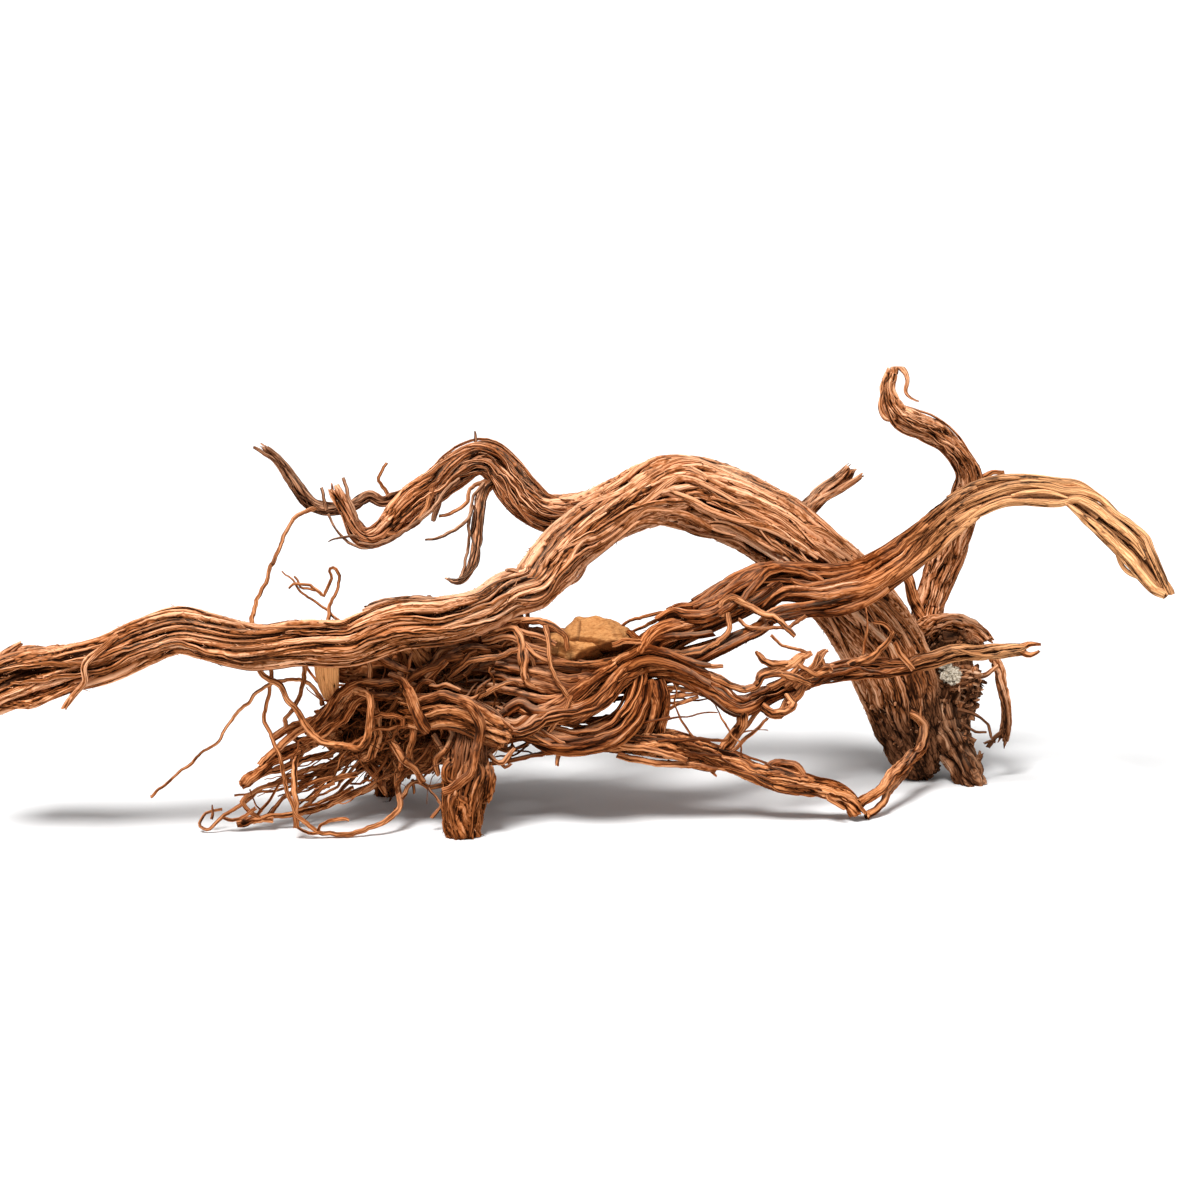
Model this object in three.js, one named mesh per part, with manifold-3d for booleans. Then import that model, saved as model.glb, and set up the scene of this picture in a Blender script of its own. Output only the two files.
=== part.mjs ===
// A dry, driftwood-like root: a grooved trunk limb on a broken stump, long twisted arms, a tangle of rootlets
// and one stone that the rootlets grew around. Units are millimetres, +Z is up, and the root stands on Z = 0.
import * as THREE from "three";
import { mergeVertices } from "three/addons/utils/BufferGeometryUtils.js";
import Module from "manifold-3d";

const wasm = await Module();
wasm.setup();

// The routes below are laid out as the root is seen from the front, by an eye this far away and this much above level.
const EYE_DISTANCE = 2000;
const EYE_TILT = THREE.MathUtils.degToRad(12);
const EYE_LINE_UP = 143;

// The middle of the root's outline on the ground, which becomes the origin.
const MIDDLE_X = -14;
const MIDDLE_Y = 83.45;

const BARK_BROWN = 0x9a5f3c;
const STONE_OCHRE = 0xb4813f;

// Every route point is [across, up, back, radius] in millimetres: across and up as seen, back away from the eye.
const ACROSS = new THREE.Vector3(1, 0, 0);
const UPWARD = new THREE.Vector3(0, Math.sin(EYE_TILT), Math.cos(EYE_TILT));
const ONWARD = new THREE.Vector3(0, Math.cos(EYE_TILT), -Math.sin(EYE_TILT));

function place([across, up, back, radius]) {
  const spread = 1 + back / EYE_DISTANCE;
  const point = new THREE.Vector3()
    .addScaledVector(UPWARD, EYE_LINE_UP)
    .addScaledVector(ACROSS, across * spread)
    .addScaledVector(UPWARD, (up - EYE_LINE_UP) * spread)
    .addScaledVector(ONWARD, back)
    .sub(new THREE.Vector3(MIDDLE_X, MIDDLE_Y, 0));
  return { point, radius: radius * spread };
}

// The thick limbs. Each is a bundle of fibres grown together, so its skin has ribs that wind slowly round it.
const TRUNK = [
  [195, 33, 139, 9], [190, 48, 134, 14], [186, 67, 128, 19.5], [180, 90, 122, 23.5], [170, 113, 116, 24.5],
  [157, 135, 110, 24], [139, 155, 103, 23], [120, 172, 97, 22], [98, 190, 90, 22], [74, 202, 84, 22], [52, 209, 78, 21],
  [34, 207, 70, 19], [16, 199, 62, 16.5], [0, 189, 54, 15.5], [-20, 174, 44, 15], [-34, 160, 34, 14.5],
  [-51, 148, 22, 14], [-68, 138, 12, 13.5], [-90, 131, 2, 13.5], [-120, 128, -10, 14], [-140, 121, -18, 14],
  [-153, 117, -23, 13], [-180, 117.5, -30, 13], [-208, 115.5, -34, 13.5], [-235, 121, -34, 13.5],
  [-252, 125, -33, 13.5], [-272, 119, -30, 14], [-295, 108, -26, 14], [-320, 102, -22, 14],
  [-345, 98, -18, 16.5], [-380, 85, -12, 17],
];
const LEFT_ARM = [
  [48, 212, 84, 14], [28, 211, 84, 14], [8, 203, 84, 12], [-16, 196, 84, 10.5], [-32, 196, 84, 11],
  [-46, 204, 84, 11], [-58, 219, 84, 10], [-70, 228, 82, 9.5], [-85, 223, 80, 9.5], [-98, 213, 78, 9.5],
  [-110, 204, 76, 9.5], [-120, 194, 73, 9], [-130, 184, 70, 6.5], [-139, 180, 67, 6], [-146, 183, 64, 5],
  [-151, 192, 62, 4.8], [-156, 203, 60, 4.5], [-161, 213, 58, 3.6],
];
const LEFT_FORK = [
  [-108, 208, 78, 5], [-122, 204, 79, 4.2], [-131, 202, 80, 3.2], [-139, 205.5, 79, 3], [-148, 200, 76, 3.2],
  [-158, 197.5, 72, 3.6], [-167, 198, 68, 4], [-175, 202, 66, 4.2], [-181, 210, 64, 4], [-187, 219, 62, 3.4],
  [-193, 227, 60, 2.8], [-200, 234, 58, 1.8], [-206, 238, 57, 1],
];
const RIGHT_ARM = [
  [24, 106, 26, 9], [38, 120, 30, 11], [52, 129, 34, 11.5], [66, 136, 38, 12], [80, 143, 42, 12.5],
  [95, 150, 47, 12.5], [110, 153, 52, 12.5], [127, 152, 57, 13.5], [144, 150, 62, 15], [158, 154, 66, 14.5],
  [172, 162, 69, 13], [186, 172, 72, 12], [200, 184, 74, 11], [214, 195, 76, 10], [228, 203, 77, 9.5],
  [243, 208, 77, 9.2], [260, 208.5, 76, 8.8], [276, 208, 74, 8.8], [289, 203, 72, 9], [301, 192, 70, 9.2],
  [313, 181, 67, 9], [325, 169, 64, 8.4], [334, 156, 62, 7], [342, 144, 60, 4],
];
const RIGHT_ARM_UNDERSIDE = [
  [150, 144, 58, 7], [135, 139, 52, 5.5], [120, 136.5, 47, 4.8], [106, 132, 42, 5.6], [93, 126, 37, 6.2],
  [78, 119, 32, 6.4], [62, 113.5, 28, 6], [46, 110, 24, 6], [30, 106, 22, 6],
];
const RISING_BRANCH = [
  [192, 104, 150, 10], [195, 124, 152, 8.5], [199, 142, 152, 8], [204, 158, 149, 8.5], [210, 174, 144, 9],
  [216, 191, 137, 8.6], [220, 207, 129, 7.4], [221, 219, 122, 6.2], [215, 230, 116, 5.8], [206, 240, 110, 6.4],
  [196, 246.5, 105, 7], [186, 250.5, 101, 6.8], [177.5, 256, 98, 5.6], [173, 265, 96, 4.6], [173.5, 274, 95, 4],
  [176, 282.5, 94, 2.8],
];
const FOREARM = [
  [18, 101, 22, 8], [34, 104, 18, 7], [48, 100.5, 15, 6.4], [60, 95, 14, 6.2], [71, 88.5, 15, 6],
  [79, 81.5, 18, 5.8], [87, 80.5, 22, 5.8], [97, 85, 26, 5.4], [109, 89.5, 30, 5], [122, 94, 35, 4.8],
  [136, 98, 42, 4.6], [152, 101, 50, 5], [168, 102, 57, 5.2], [183, 103.5, 63, 5.4], [198, 107, 68, 5.6],
  [212, 111, 72, 5.4], [228, 111.5, 75, 4.8], [244, 112.5, 78, 4.4], [258, 113.5, 80, 4],
];
const LOWER_LIMB = [
  [2, 60, 18, 7.5], [22, 59, 22, 9], [42, 56.5, 24, 8.4], [60, 52, 26, 7], [76, 47, 28, 6.2], [91, 41, 30, 6],
  [105, 36, 31, 6.8], [118, 33, 32, 7], [130, 31, 33, 5.2], [141, 28, 34, 5.6], [150, 22, 36, 5.2],
  [156, 12, 37, 5],
];
const ELBOW_RISER = [
  [154, 20, 37, 4], [162, 25, 40, 2.8], [170, 31, 50, 3.2], [179, 41, 66, 4], [188, 49, 84, 4],
  [194, 58, 97, 3.4], [195.5, 67, 103, 3], [190, 73.5, 105, 3], [182, 78, 108, 3],
];
const ELBOW_STAY = [
  [158, 12, 38, 3], [166, 17, 44, 2], [173, 27, 54, 2.2], [181, 37, 70, 2.2], [187, 45, 84, 2.4],
];
// The crown is where the roots meet; most of it is hidden by the rootlets that grow from it.
const CROWN = [
  [-178, 74, 30, 5], [-150, 67, 42, 16], [-122, 64, 48, 24], [-96, 68, 50, 25], [-70, 77, 46, 19],
  [-44, 86, 40, 13], [-18, 92, 32, 9], [10, 98, 28, 9], [30, 104, 26, 10],
];
const SWOOP = [
  [27, 100, 22, 7.5], [23, 84, 16, 8.5], [14, 69, 12, 8.5], [0, 61.5, 10, 7.6], [-16, 57.5, 10, 7],
  [-33, 61, 12, 6.8], [-48, 67, 16, 7], [-62, 76, 26, 8],
];
const INNER_SWOOP = [
  [24, 105, 18, 6], [12, 98, 13, 6.4], [3, 88, 9, 6.4], [-8, 79.5, 6, 6.2], [-22, 76, 5, 5.4],
  [-36, 73, 6, 5.4], [-48, 66, 7, 5.6], [-58, 72, 18, 6],
];
const STONE_CRADLE = [
  [24, 104, 26, 7], [8, 103, 22, 6.4], [-8, 101, 18, 6.8], [-24, 102, 18, 7.4], [-40, 105, 22, 7.6], [-56, 106, 30, 8],
  [-74, 102, 40, 10],
];
const BACK_BAND = [
  [-172, 60, 54, 3.6], [-138, 58, 72, 9], [-108, 66, 80, 11], [-78, 76, 80, 11], [-48, 84, 72, 10], [-18, 92, 60, 9],
  [10, 104, 48, 8], [36, 118, 40, 8],
];
const UPPER_BAND = [
  [-172, 102, 2, 4], [-146, 102, 22, 10], [-120, 104, 34, 12], [-92, 106, 40, 13], [-64, 110, 40, 13], [-36, 116, 38, 11],
  [-8, 112, 44, 8],
];
const PALE_SLAB = [
  [-165, 124, -14, 5], [-165, 108, -10, 6.6], [-164, 94, -2, 6.4], [-160, 80, 12, 6], [-150, 68, 30, 8],
];
const LIMB_HANGER = [
  [-120, 128, 0, 9], [-112, 114, 16, 9], [-102, 98, 34, 10], [-94, 82, 48, 10],
];
const SHOULDER_HANGER = [
  [-60, 140, 22, 9], [-52, 128, 28, 8], [-46, 114, 34, 8], [-40, 100, 38, 8],
];
const BARK_FLAKE = [[-143, 135, -14, 4], [-128, 139.5, -12, 4.6], [-110, 141, -8, 4.4], [-91, 141, -4, 2.6]];
const PADDLE = [
  [-122, 78, 12, 8], [-108, 76, 3, 9.4], [-94, 77, -1, 9.6], [-82, 75, -2, 9.4], [-70, 69, 0, 9], [-59, 62, 3, 7.6],
  [-52, 57, 6, 4],
];
const FRONT_FOOT = [
  [-86, 76, 40, 12], [-80, 62, 20, 11], [-79, 47, 8, 11], [-80, 30, 5, 13], [-82, 14, 5, 12.4], [-83, -4, 6, 10.5],
];
const BACK_FOOT = [
  [-112, 58, 62, 12], [-122, 44, 80, 8.5], [-128, 32, 94, 6.5], [-129, 20, 100, 6],
];
const STUMP = [
  [196, 118, 140, 12], [205, 108, 142, 17], [208, 92, 140, 17], [207, 76, 136, 14], [210, 60, 131, 11.5],
  [216, 47, 126, 10], [221, 36, 122, 8.4], [223, 28, 121, 7],
];
const STUMP_RIDGE = [
  [193, 124, 138, 7], [205, 127.5, 134, 5], [218, 126, 132, 5], [229, 121, 130, 3.8], [236.5, 112, 130, 3],
  [239.5, 100, 130, 3], [242, 88, 130, 2.8], [243.5, 74, 130, 2.6], [242.5, 61, 130, 2.6], [240, 54, 130, 2],
];
const STUMP_FIN = [[212, 80, 134, 6], [223, 83, 130, 3.6], [232, 85, 128, 3]];
const STUMP_LEDGE = [[200, 98, 124, 8], [213, 96, 120, 7], [226, 95, 122, 6], [234, 93, 124, 3.4]];
const HIGH_FORK = [[112, 184, 108, 7], [124, 198, 112, 5], [135, 209, 114, 4.4], [145, 216, 114, 4.2], [152, 224, 114, 3.4]];
const HIGH_FORK_TWIN = [[122, 192, 110, 4], [132, 202, 108, 2.6], [143, 208.5, 107, 2.2], [152, 214, 106, 2], [160, 219, 106, 1.5]];
const HANGING_PRONG = [
  [-62, 217, 82, 4], [-69, 209, 80, 3.2], [-72.5, 196, 78, 2.8], [-74, 180, 76, 2.6], [-76.5, 166, 74, 2.8],
  [-81, 156.5, 72, 2.4], [-87, 153.5, 70, 1.8], [-93, 156.5, 69, 1.4],
];

// Each limb's route, the ribs round it, how deep the grooves between them are as a share of its radius, and the
// millimetres along it in which the ribs wind once round it.
const LIMBS = [
  { route: TRUNK, ribs: 9, groove: 0.16, turn: 900 },
  { route: LEFT_ARM, ribs: 6, groove: 0.18, turn: 500 },
  { route: LEFT_FORK, ribs: 4, groove: 0.12, turn: 300 },
  { route: RIGHT_ARM, ribs: 7, groove: 0.2, turn: 520 },
  { route: RIGHT_ARM_UNDERSIDE, ribs: 3, groove: 0.14, turn: 300 },
  { route: RISING_BRANCH, ribs: 5, groove: 0.16, turn: 420 },
  { route: FOREARM, ribs: 4, groove: 0.2, turn: 420 },
  { route: LOWER_LIMB, ribs: 4, groove: 0.18, turn: 260 },
  { route: ELBOW_RISER, ribs: 3, groove: 0.1, turn: 150 },
  { route: ELBOW_STAY, ribs: 3, groove: 0.1, turn: 150 },
  { route: CROWN, ribs: 7, groove: 0.14, turn: 400 },
  { route: SWOOP, ribs: 5, groove: 0.16, turn: 300 },
  { route: INNER_SWOOP, ribs: 4, groove: 0.18, turn: 300 },
  { route: STONE_CRADLE, ribs: 4, groove: 0.16, turn: 300 },
  { route: BACK_BAND, ribs: 5, groove: 0.18, turn: 400 },
  { route: UPPER_BAND, ribs: 5, groove: 0.18, turn: 400 },
  { route: PALE_SLAB, ribs: 3, groove: 0.08, turn: 500 },
  { route: LIMB_HANGER, ribs: 3, groove: 0.14, turn: 300 },
  { route: SHOULDER_HANGER, ribs: 3, groove: 0.14, turn: 300 },
  { route: BARK_FLAKE, ribs: 3, groove: 0.1, turn: 500 },
  { route: PADDLE, ribs: 6, groove: 0.18, turn: 400 },
  { route: FRONT_FOOT, ribs: 6, groove: 0.18, turn: 400 },
  { route: BACK_FOOT, ribs: 4, groove: 0.14, turn: 300 },
  { route: STUMP, ribs: 5, groove: 0.16, turn: 400 },
  { route: STUMP_RIDGE, ribs: 3, groove: 0.12, turn: 200 },
  { route: STUMP_FIN, ribs: 3, groove: 0.1, turn: 200 },
  { route: STUMP_LEDGE, ribs: 3, groove: 0.16, turn: 200 },
  { route: HIGH_FORK, ribs: 3, groove: 0.14, turn: 200 },
  { route: HIGH_FORK_TWIN, ribs: 3, groove: 0.1, turn: 200 },
  { route: HANGING_PRONG, ribs: 3, groove: 0.1, turn: 200 },
];

// The rootlets that can be told apart, each bent by hand; ends are sunk in what they grow from.
const ROOTLETS = [
  // from the left fork, down behind the trunk limb to the ground
  [[-166, 199, 66, 1.6], [-180, 195, 58, 1.3], [-188, 187, 52, 1.3], [-194, 170, 42, 1.3], [-200, 156, 32, 1.3],
    [-207, 138, 18, 1.5], [-209, 126, 4, 1.6], [-202, 112, -14, 1.6], [-197, 102, -14, 1.4], [-200, 82, -12, 1.3],
    [-201, 70, -12, 1.3], [-193, 52, -12, 1.4], [-188, 28, -10, 1.4], [-181, 13, -6, 1.4], [-170, 4.5, -2, 1.4],
    [-158, 2, 0, 1.6], [-145, 4, 2, 1.5], [-130, 10, 6, 1.6], [-120, 19, 12, 1.8], [-121, 30, 20, 1.9],
    [-124, 48, 26, 2], [-128, 60, 34, 2.2]],
  // the looped root in front of the tangle
  [[-206, 112, -24, 1.8], [-204, 99, -20, 1.8], [-193, 92, -18, 2], [-185, 80, -16, 2], [-177, 69, -14, 2.2],
    [-168, 58, -12, 2.2], [-155, 55.5, -12, 2.1], [-145, 54.5, -12, 2.2], [-139, 61, -12, 2.3], [-138, 74, -12, 2.3],
    [-138, 85, -10, 2.4], [-146, 88, -2, 2.8], [-153, 81, 4, 3.2], [-164, 71, 12, 3.4], [-176, 64, 22, 3]],
  // the long stray root at the far left
  [[-271, 25, -6, 0.9], [-252, 39, -8, 1], [-240, 50, -10, 1], [-228, 60, -12, 1], [-216, 77, -14, 1.1],
    [-200, 92, -16, 1.2], [-184, 95.5, -12, 1.2], [-171, 91, 0, 1.4], [-166, 80, 14, 1.6]],
  [[-182, 118, -18, 1.6], [-177, 100, -10, 1.5], [-181, 84, -8, 1.5], [-188, 72, -4, 1.5], [-186, 62, 10, 1.6], [-172, 58, 26, 2]],
  [[-214, 34, -2, 2.8], [-204, 40, 0, 3], [-190, 52, 6, 3], [-174, 58, 16, 3.2], [-156, 62, 30, 4]],
  [[-211, 35, 2, 1.8], [-196, 40, 8, 2], [-178, 47, 16, 2], [-160, 51, 28, 2.4]],
  [[-226, 18, 14, 0.9], [-237, 15, 12, 1], [-240, 8, 11, 1], [-236, 5.5, 10, 1.1], [-229, 11, 9, 1.2], [-216, 20, 10, 1.3],
    [-202, 31, 14, 1.4], [-186, 38, 20, 1.6], [-164, 44, 30, 2]],
  [[-216, 9, 14, 2], [-206, 12, 14, 1.8], [-194, 14, 16, 1.8], [-178, 15, 20, 1.9], [-160, 21, 28, 2.1], [-144, 28, 38, 2.4],
    [-126, 38, 46, 3]],
  [[-196, 10, 14, 1.4], [-209, 15, 12, 1.5], [-215, 23, 10, 1.5], [-200, 31, 12, 1.5], [-180, 36, 22, 1.7], [-158, 42, 34, 2]],
  [[-183, 6, -4, 1.9], [-182, 22, -6, 1.9], [-184, 38, -4, 2], [-180, 50, 10, 2], [-168, 60, 24, 2.4]],
  [[-200, 12, 18, 1.2], [-190, 24, 20, 1.3], [-172, 34, 26, 1.5], [-154, 47, 36, 2]],
  [[-184, 12, 22, 1.3], [-172, 24, 30, 1.4], [-164, 37, 36, 1.7], [-148, 50, 44, 2.4], [-136, 60, 50, 3]],
  [[-170, 21, 30, 1], [-158, 27, 36, 1.2], [-144, 40, 44, 1.8], [-130, 52, 48, 2.6]],
  [[-140, 92, 22, 3], [-135, 82, 12, 2.6], [-133, 62, 8, 2.6], [-137, 50, 10, 2.6], [-142, 50, 26, 3], [-136, 58, 44, 3.4]],
  [[-119, 24, 15, 1.5], [-112, 34, 22, 1.4], [-103, 31, 26, 1.4], [-92, 32, 24, 1.8]],
  [[-108, 66, -6, 3], [-113, 84, -8, 3], [-121, 97, 2, 2.6], [-112, 98, 14, 3], [-103, 104, 16, 3.2], [-94, 112, 18, 3.2],
    [-74, 112, 30, 3.4]],
  [[-110, 72, 6, 2.6], [-113, 58, 6, 2.2], [-114, 48, 14, 2.2], [-110, 48, 34, 3]],
  [[-98, 92, 20, 2], [-78, 106, 8, 1.9], [-60, 109, 6, 1.8], [-46, 114, 10, 1.8], [-40, 103, 16, 2]],
  [[-86, 80, 4, 2], [-68, 87.5, -2, 1.6], [-54, 93.5, 2, 1.5], [-44, 92, 14, 1.6]],
  [[-72, 122, 14, 2.4], [-52, 126, 12, 2.4], [-47, 116, 9, 2.6], [-47, 102, 9, 2.6], [-40, 91, 10, 2.4], [-24, 88, 14, 2.4]],
  [[-64, 124, 16, 2.2], [-46, 131.5, 14, 1.8], [-30, 128, 11, 1.8], [-22, 122, 7, 1.8], [-19, 112, 8, 1.6]],
  [[-32, 128, 10, 1.6], [-31, 112, 4, 1.4], [-26, 94, 2, 1.4], [-12, 78, 0, 1.4]],
  [[-46, 118, 12, 1.6], [-34, 107, 8, 1.6], [-12, 104.5, 10, 1.6], [8, 106, 14, 1.8], [26, 114, 20, 2]],
  [[12, 126, 36, 1], [19, 131.5, 33, 1.1], [37, 135, 30, 1.2], [48, 136, 32, 1.4]],
  // over the right arm
  [[73, 132, 26, 2.2], [74, 142, 26, 2.4], [80, 145, 26, 2.4], [92, 137, 28, 2.3], [106, 131.5, 30, 2.2], [118, 120, 30, 1.3]],
  [[76, 136, 26, 1.7], [77, 124, 24, 1.7], [66, 115, 20, 1.7], [50, 110.5, 16, 1.7], [28, 115, 14, 1.8], [8, 106, 12, 1.8]],
  [[82, 132, 30, 1.3], [92, 126, 28, 1.2], [112, 126.5, 32, 1.2], [124, 134, 42, 1.6]],
  // above and below the forearm
  [[38, 107, 12, 3], [58, 101, 9, 2.6], [74, 94, 10, 2.6], [84, 90, 14, 2.4], [94, 92, 18, 2.4], [97, 98.5, 18, 2.6],
    [110, 102.5, 20, 2.8], [120, 108, 22, 2.6], [128, 112, 24, 1.5]],
  [[94, 112, 14, 1.4], [101, 105, 15, 1.8], [112, 102.5, 19, 1.8]],
  [[102, 122.5, 20, 1], [109, 115.5, 20, 1], [126, 111, 23, 1.4]],
  [[110, 91, 24, 2.4], [120, 99, 26, 2.6], [133, 103.5, 30, 2.8], [131, 111, 29, 1.3], [136, 113.5, 28, 1]],
  [[122, 94, 33, 3], [113, 83, 31, 2.6], [106, 74.5, 29, 2.8], [97, 79, 27, 3], [94, 85, 26, 3]],
  [[54, 101, 12, 2], [64, 104, 8, 1.8], [74.5, 103, 7, 1.3]],
  [[86, 80, 22, 4], [84, 69, 24, 3.4], [78, 60, 26, 3], [70, 50, 28, 3]],
  [[97, 80, 28, 1.4], [88, 67, 28, 1.3], [76, 52, 28, 1.6]],
  [[18, 77, 16, 1.6], [30, 82, 19, 1.2], [42, 88, 18, 1.2], [54, 97, 15, 1.6]],
  // over the trunk's left end
  [[-288, 122, -34, 2], [-301, 112, -40, 1.9], [-309, 104, -40, 1.8], [-309, 94, -36, 1.8], [-316, 86, -32, 1.8], [-321, 78, -31, 1.8]],
  // round the left arm
  [[-98, 213, 74, 3], [-103, 203, 66, 1.5], [-110, 189, 62, 1.4], [-124, 183, 64, 1.6], [-132, 183, 70, 2.4]],
  [[-133, 201, 80, 1.3], [-127, 206, 80, 1.2], [-133, 215, 78, 1.1], [-127, 226, 76, 1]],
  [[-66, 216, 80, 1.6], [-77, 210, 76, 1.2], [-80, 201, 74, 1.3], [-97, 193, 70, 1.1]],
  // behind the trunk's limb, left
  [[-165, 124, -16, 1.6], [-161, 142, -12, 1.1], [-157.5, 158, -10, 1.1], [-162.5, 161, -9, 1], [-162, 149, -8, 1],
    [-167, 146, -8, 1], [-173, 152, -8, 1], [-186, 153, -8, 0.9]],
  [[-156, 124, -14, 1.6], [-166, 137, -8, 1.1], [-183, 152.5, -6, 0.9], [-193, 161, -4, 0.8]],
  // over the stump
  [[243, 64, 130, 2], [237, 57, 129, 1.8], [233, 52, 128, 1.6]],
  [[182, 162, 142, 3.4], [187, 148, 144, 3.4], [194, 128, 146, 4]],
  [[224, 212, 126, 2.6], [234, 218.5, 122, 1.8], [244, 220, 120, 1.2]],
  [[140, 33, 30, 1.8], [137, 24, 29, 1.5], [147, 17.5, 28, 1.1]],
  [[148, 103, 46, 2.6], [160, 108, 48, 2.6], [172, 116, 50, 1.8], [176, 124, 50, 1.2]],
];

// Seeded draw, so that the tangle is the same on every build.
const TANGLE_SEED = 7;
function seededDraw(seed) {
  let state = seed;
  return () => {
    state = (state + 0x6d2b79f5) | 0;
    let t = Math.imul(state ^ (state >>> 15), 1 | state);
    t = (t + Math.imul(t ^ (t >>> 7), 61 | t)) ^ t;
    return ((t ^ (t >>> 14)) >>> 0) / 4294967296;
  };
}

// More rootlets by rule: each starts inside the crown, sweeps out towards the left, the back or the ground, and ends free.
const TANGLE_COUNT = 16;
function tangleRoutes() {
  const draw = seededDraw(TANGLE_SEED);
  const between = (low, high) => low + (high - low) * draw();
  return Array.from({ length: TANGLE_COUNT }, (_, i) => {
    const across = between(-132, -56);
    const sweep = between(-46, -4);
    const side = (i + between(0.2, 0.8)) / TANGLE_COUNT;
    const back = THREE.MathUtils.lerp(26, 104, side);
    const drop = between(22, 44) * (i % 3 === 0 ? 0.35 : 1);
    return [
      [across, between(64, 78), THREE.MathUtils.lerp(46, 60, side), 2.6],
      [across + sweep * 0.5, between(62, 70) - drop * 0.45, back * 0.9, between(2, 2.6)],
      [across + sweep, 66 - drop, back, between(1.5, 2)],
      [across + sweep * between(1.2, 1.9), 60 - drop * between(1, 1.15), back * between(0.96, 1.1), 1.1],
    ];
  });
}

// A route becomes a line of stations: places along its curve, each with a direction, a radius and the length so far.
// Every route point is a station, and long stretches between them are split evenly.
function stationsOf(route, step) {
  const knots = route.map(place);
  const curve = new THREE.CatmullRomCurve3(knots.map((k) => k.point), false, "centripetal");
  const stations = [];
  for (let i = 0; i < knots.length - 1; i++) {
    const parts = Math.max(1, Math.round(knots[i].point.distanceTo(knots[i + 1].point) / step));
    for (let j = 0; j < parts; j++) stations.push([i, j / parts]);
  }
  stations.push([knots.length - 2, 1]);
  let travelled = 0;
  let normal = new THREE.Vector3(0, -1, 0);
  let previous = null;
  return stations.map(([i, share]) => {
    const t = (i + share) / (knots.length - 1);
    const point = curve.getPoint(t);
    const tangent = curve.getTangent(t);
    normal = normal.clone().addScaledVector(tangent, -normal.dot(tangent)).normalize();
    if (previous) travelled += point.distanceTo(previous);
    previous = point;
    return {
      point, normal, travelled,
      binormal: tangent.clone().cross(normal),
      radius: THREE.MathUtils.lerp(knots[i].radius, knots[i + 1].radius, share),
    };
  });
}

// A cylinder bent through the stations. reach gives the distance from the axis for an angle round it at a station,
// and wind how far the skin has wound round by then.
function bentCylinder(stations, sides, reach, wind) {
  const rings = stations.length - 1;
  const geometry = new THREE.CylinderGeometry(1, 1, 1, sides, rings);
  const position = geometry.getAttribute("position");
  for (let i = 0; i < position.count; i++) {
    const station = stations[Math.round((position.getY(i) + 0.5) * rings)];
    const onAxis = Math.hypot(position.getX(i), position.getZ(i)) < 0.5;
    const angle = Math.atan2(position.getX(i), position.getZ(i));
    const wound = angle + wind(station);
    const distance = onAxis ? 0 : reach(angle, station);
    const point = station.point
      .clone()
      .addScaledVector(station.normal, Math.cos(wound) * distance)
      .addScaledVector(station.binormal, Math.sin(wound) * distance);
    position.setXYZ(i, point.x, point.y, point.z);
  }
  return geometry;
}

// A limb has ribs raised from its skin by a formula, and it isn't quite round.
const LIMB_STEP = 25;
const OVAL_SHARE = 0.05;
const LOBE_SHARE = 0.04;
function limb({ route, ribs, groove, turn }) {
  const wind = ({ travelled }) => (travelled * 2 * Math.PI) / turn;
  const reach = (angle, station) => {
    const rib = Math.cos(ribs * angle);
    const oval = OVAL_SHARE * Math.sin(2 * angle + wind(station) * 3);
    const lobe = LOBE_SHARE * Math.sin(3 * angle - wind(station) * 5);
    return station.radius * (1 - groove / 2 + (groove / 2) * rib + oval + lobe);
  };
  return bentCylinder(stationsOf(route, LIMB_STEP), ribs * 2, reach, wind);
}

// A rootlet is the same, plain, with four sides where it is stout and three where it is fine.
const STOUT_RADIUS = 2.6;
const ROOTLET_STEP = 30;
const ROOTLET_FULLNESS = 1.15;
function rootlet(route) {
  const sides = Math.max(...route.map(([, , , radius]) => radius)) > STOUT_RADIUS ? 4 : 3;
  return bentCylinder(stationsOf(route, ROOTLET_STEP), sides, (angle, { radius }) => radius * ROOTLET_FULLNESS, () => 0);
}

// The stone: a rounded block with flat faces, longer than it is high.
const STONE_CENTRE = [-8, 118, 26, 1];
const STONE_SIZE = [56, 34, 27];
const STONE_CLEARANCE = 0.5;
const STONE_TILT = 3;
function stoneGeometry(extra) {
  const geometry = new THREE.IcosahedronGeometry(1, 2);
  const position = geometry.getAttribute("position");
  const centre = place(STONE_CENTRE).point;
  const facets = [
    [new THREE.Vector3(0.15, -0.55, 0.82), 0.8], [new THREE.Vector3(-0.55, -0.5, 0.67), 0.86],
    [new THREE.Vector3(0.75, -0.3, 0.59), 0.82], [new THREE.Vector3(0.2, -0.9, -0.4), 0.8],
    [new THREE.Vector3(-0.3, 0.8, 0.52), 0.84], [new THREE.Vector3(0.5, 0.4, -0.77), 0.82],
    [new THREE.Vector3(-0.9, 0.1, -0.42), 0.86], [new THREE.Vector3(0.95, 0.3, 0.05), 0.88],
  ];
  for (let i = 0; i < position.count; i++) {
    const point = new THREE.Vector3().fromBufferAttribute(position, i);
    for (const [normal, limit] of facets) {
      const over = point.dot(normal.clone().normalize()) - limit;
      if (over > 0) point.addScaledVector(normal.clone().normalize(), -over * 0.85);
    }
    position.setXYZ(
      i,
      centre.x + point.x * (STONE_SIZE[0] / 2 + extra),
      centre.y + point.y * (STONE_SIZE[1] / 2 + extra),
      centre.z + point.z * (STONE_SIZE[2] / 2 + extra) - point.x * STONE_TILT,
    );
  }
  return geometry;
}

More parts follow.
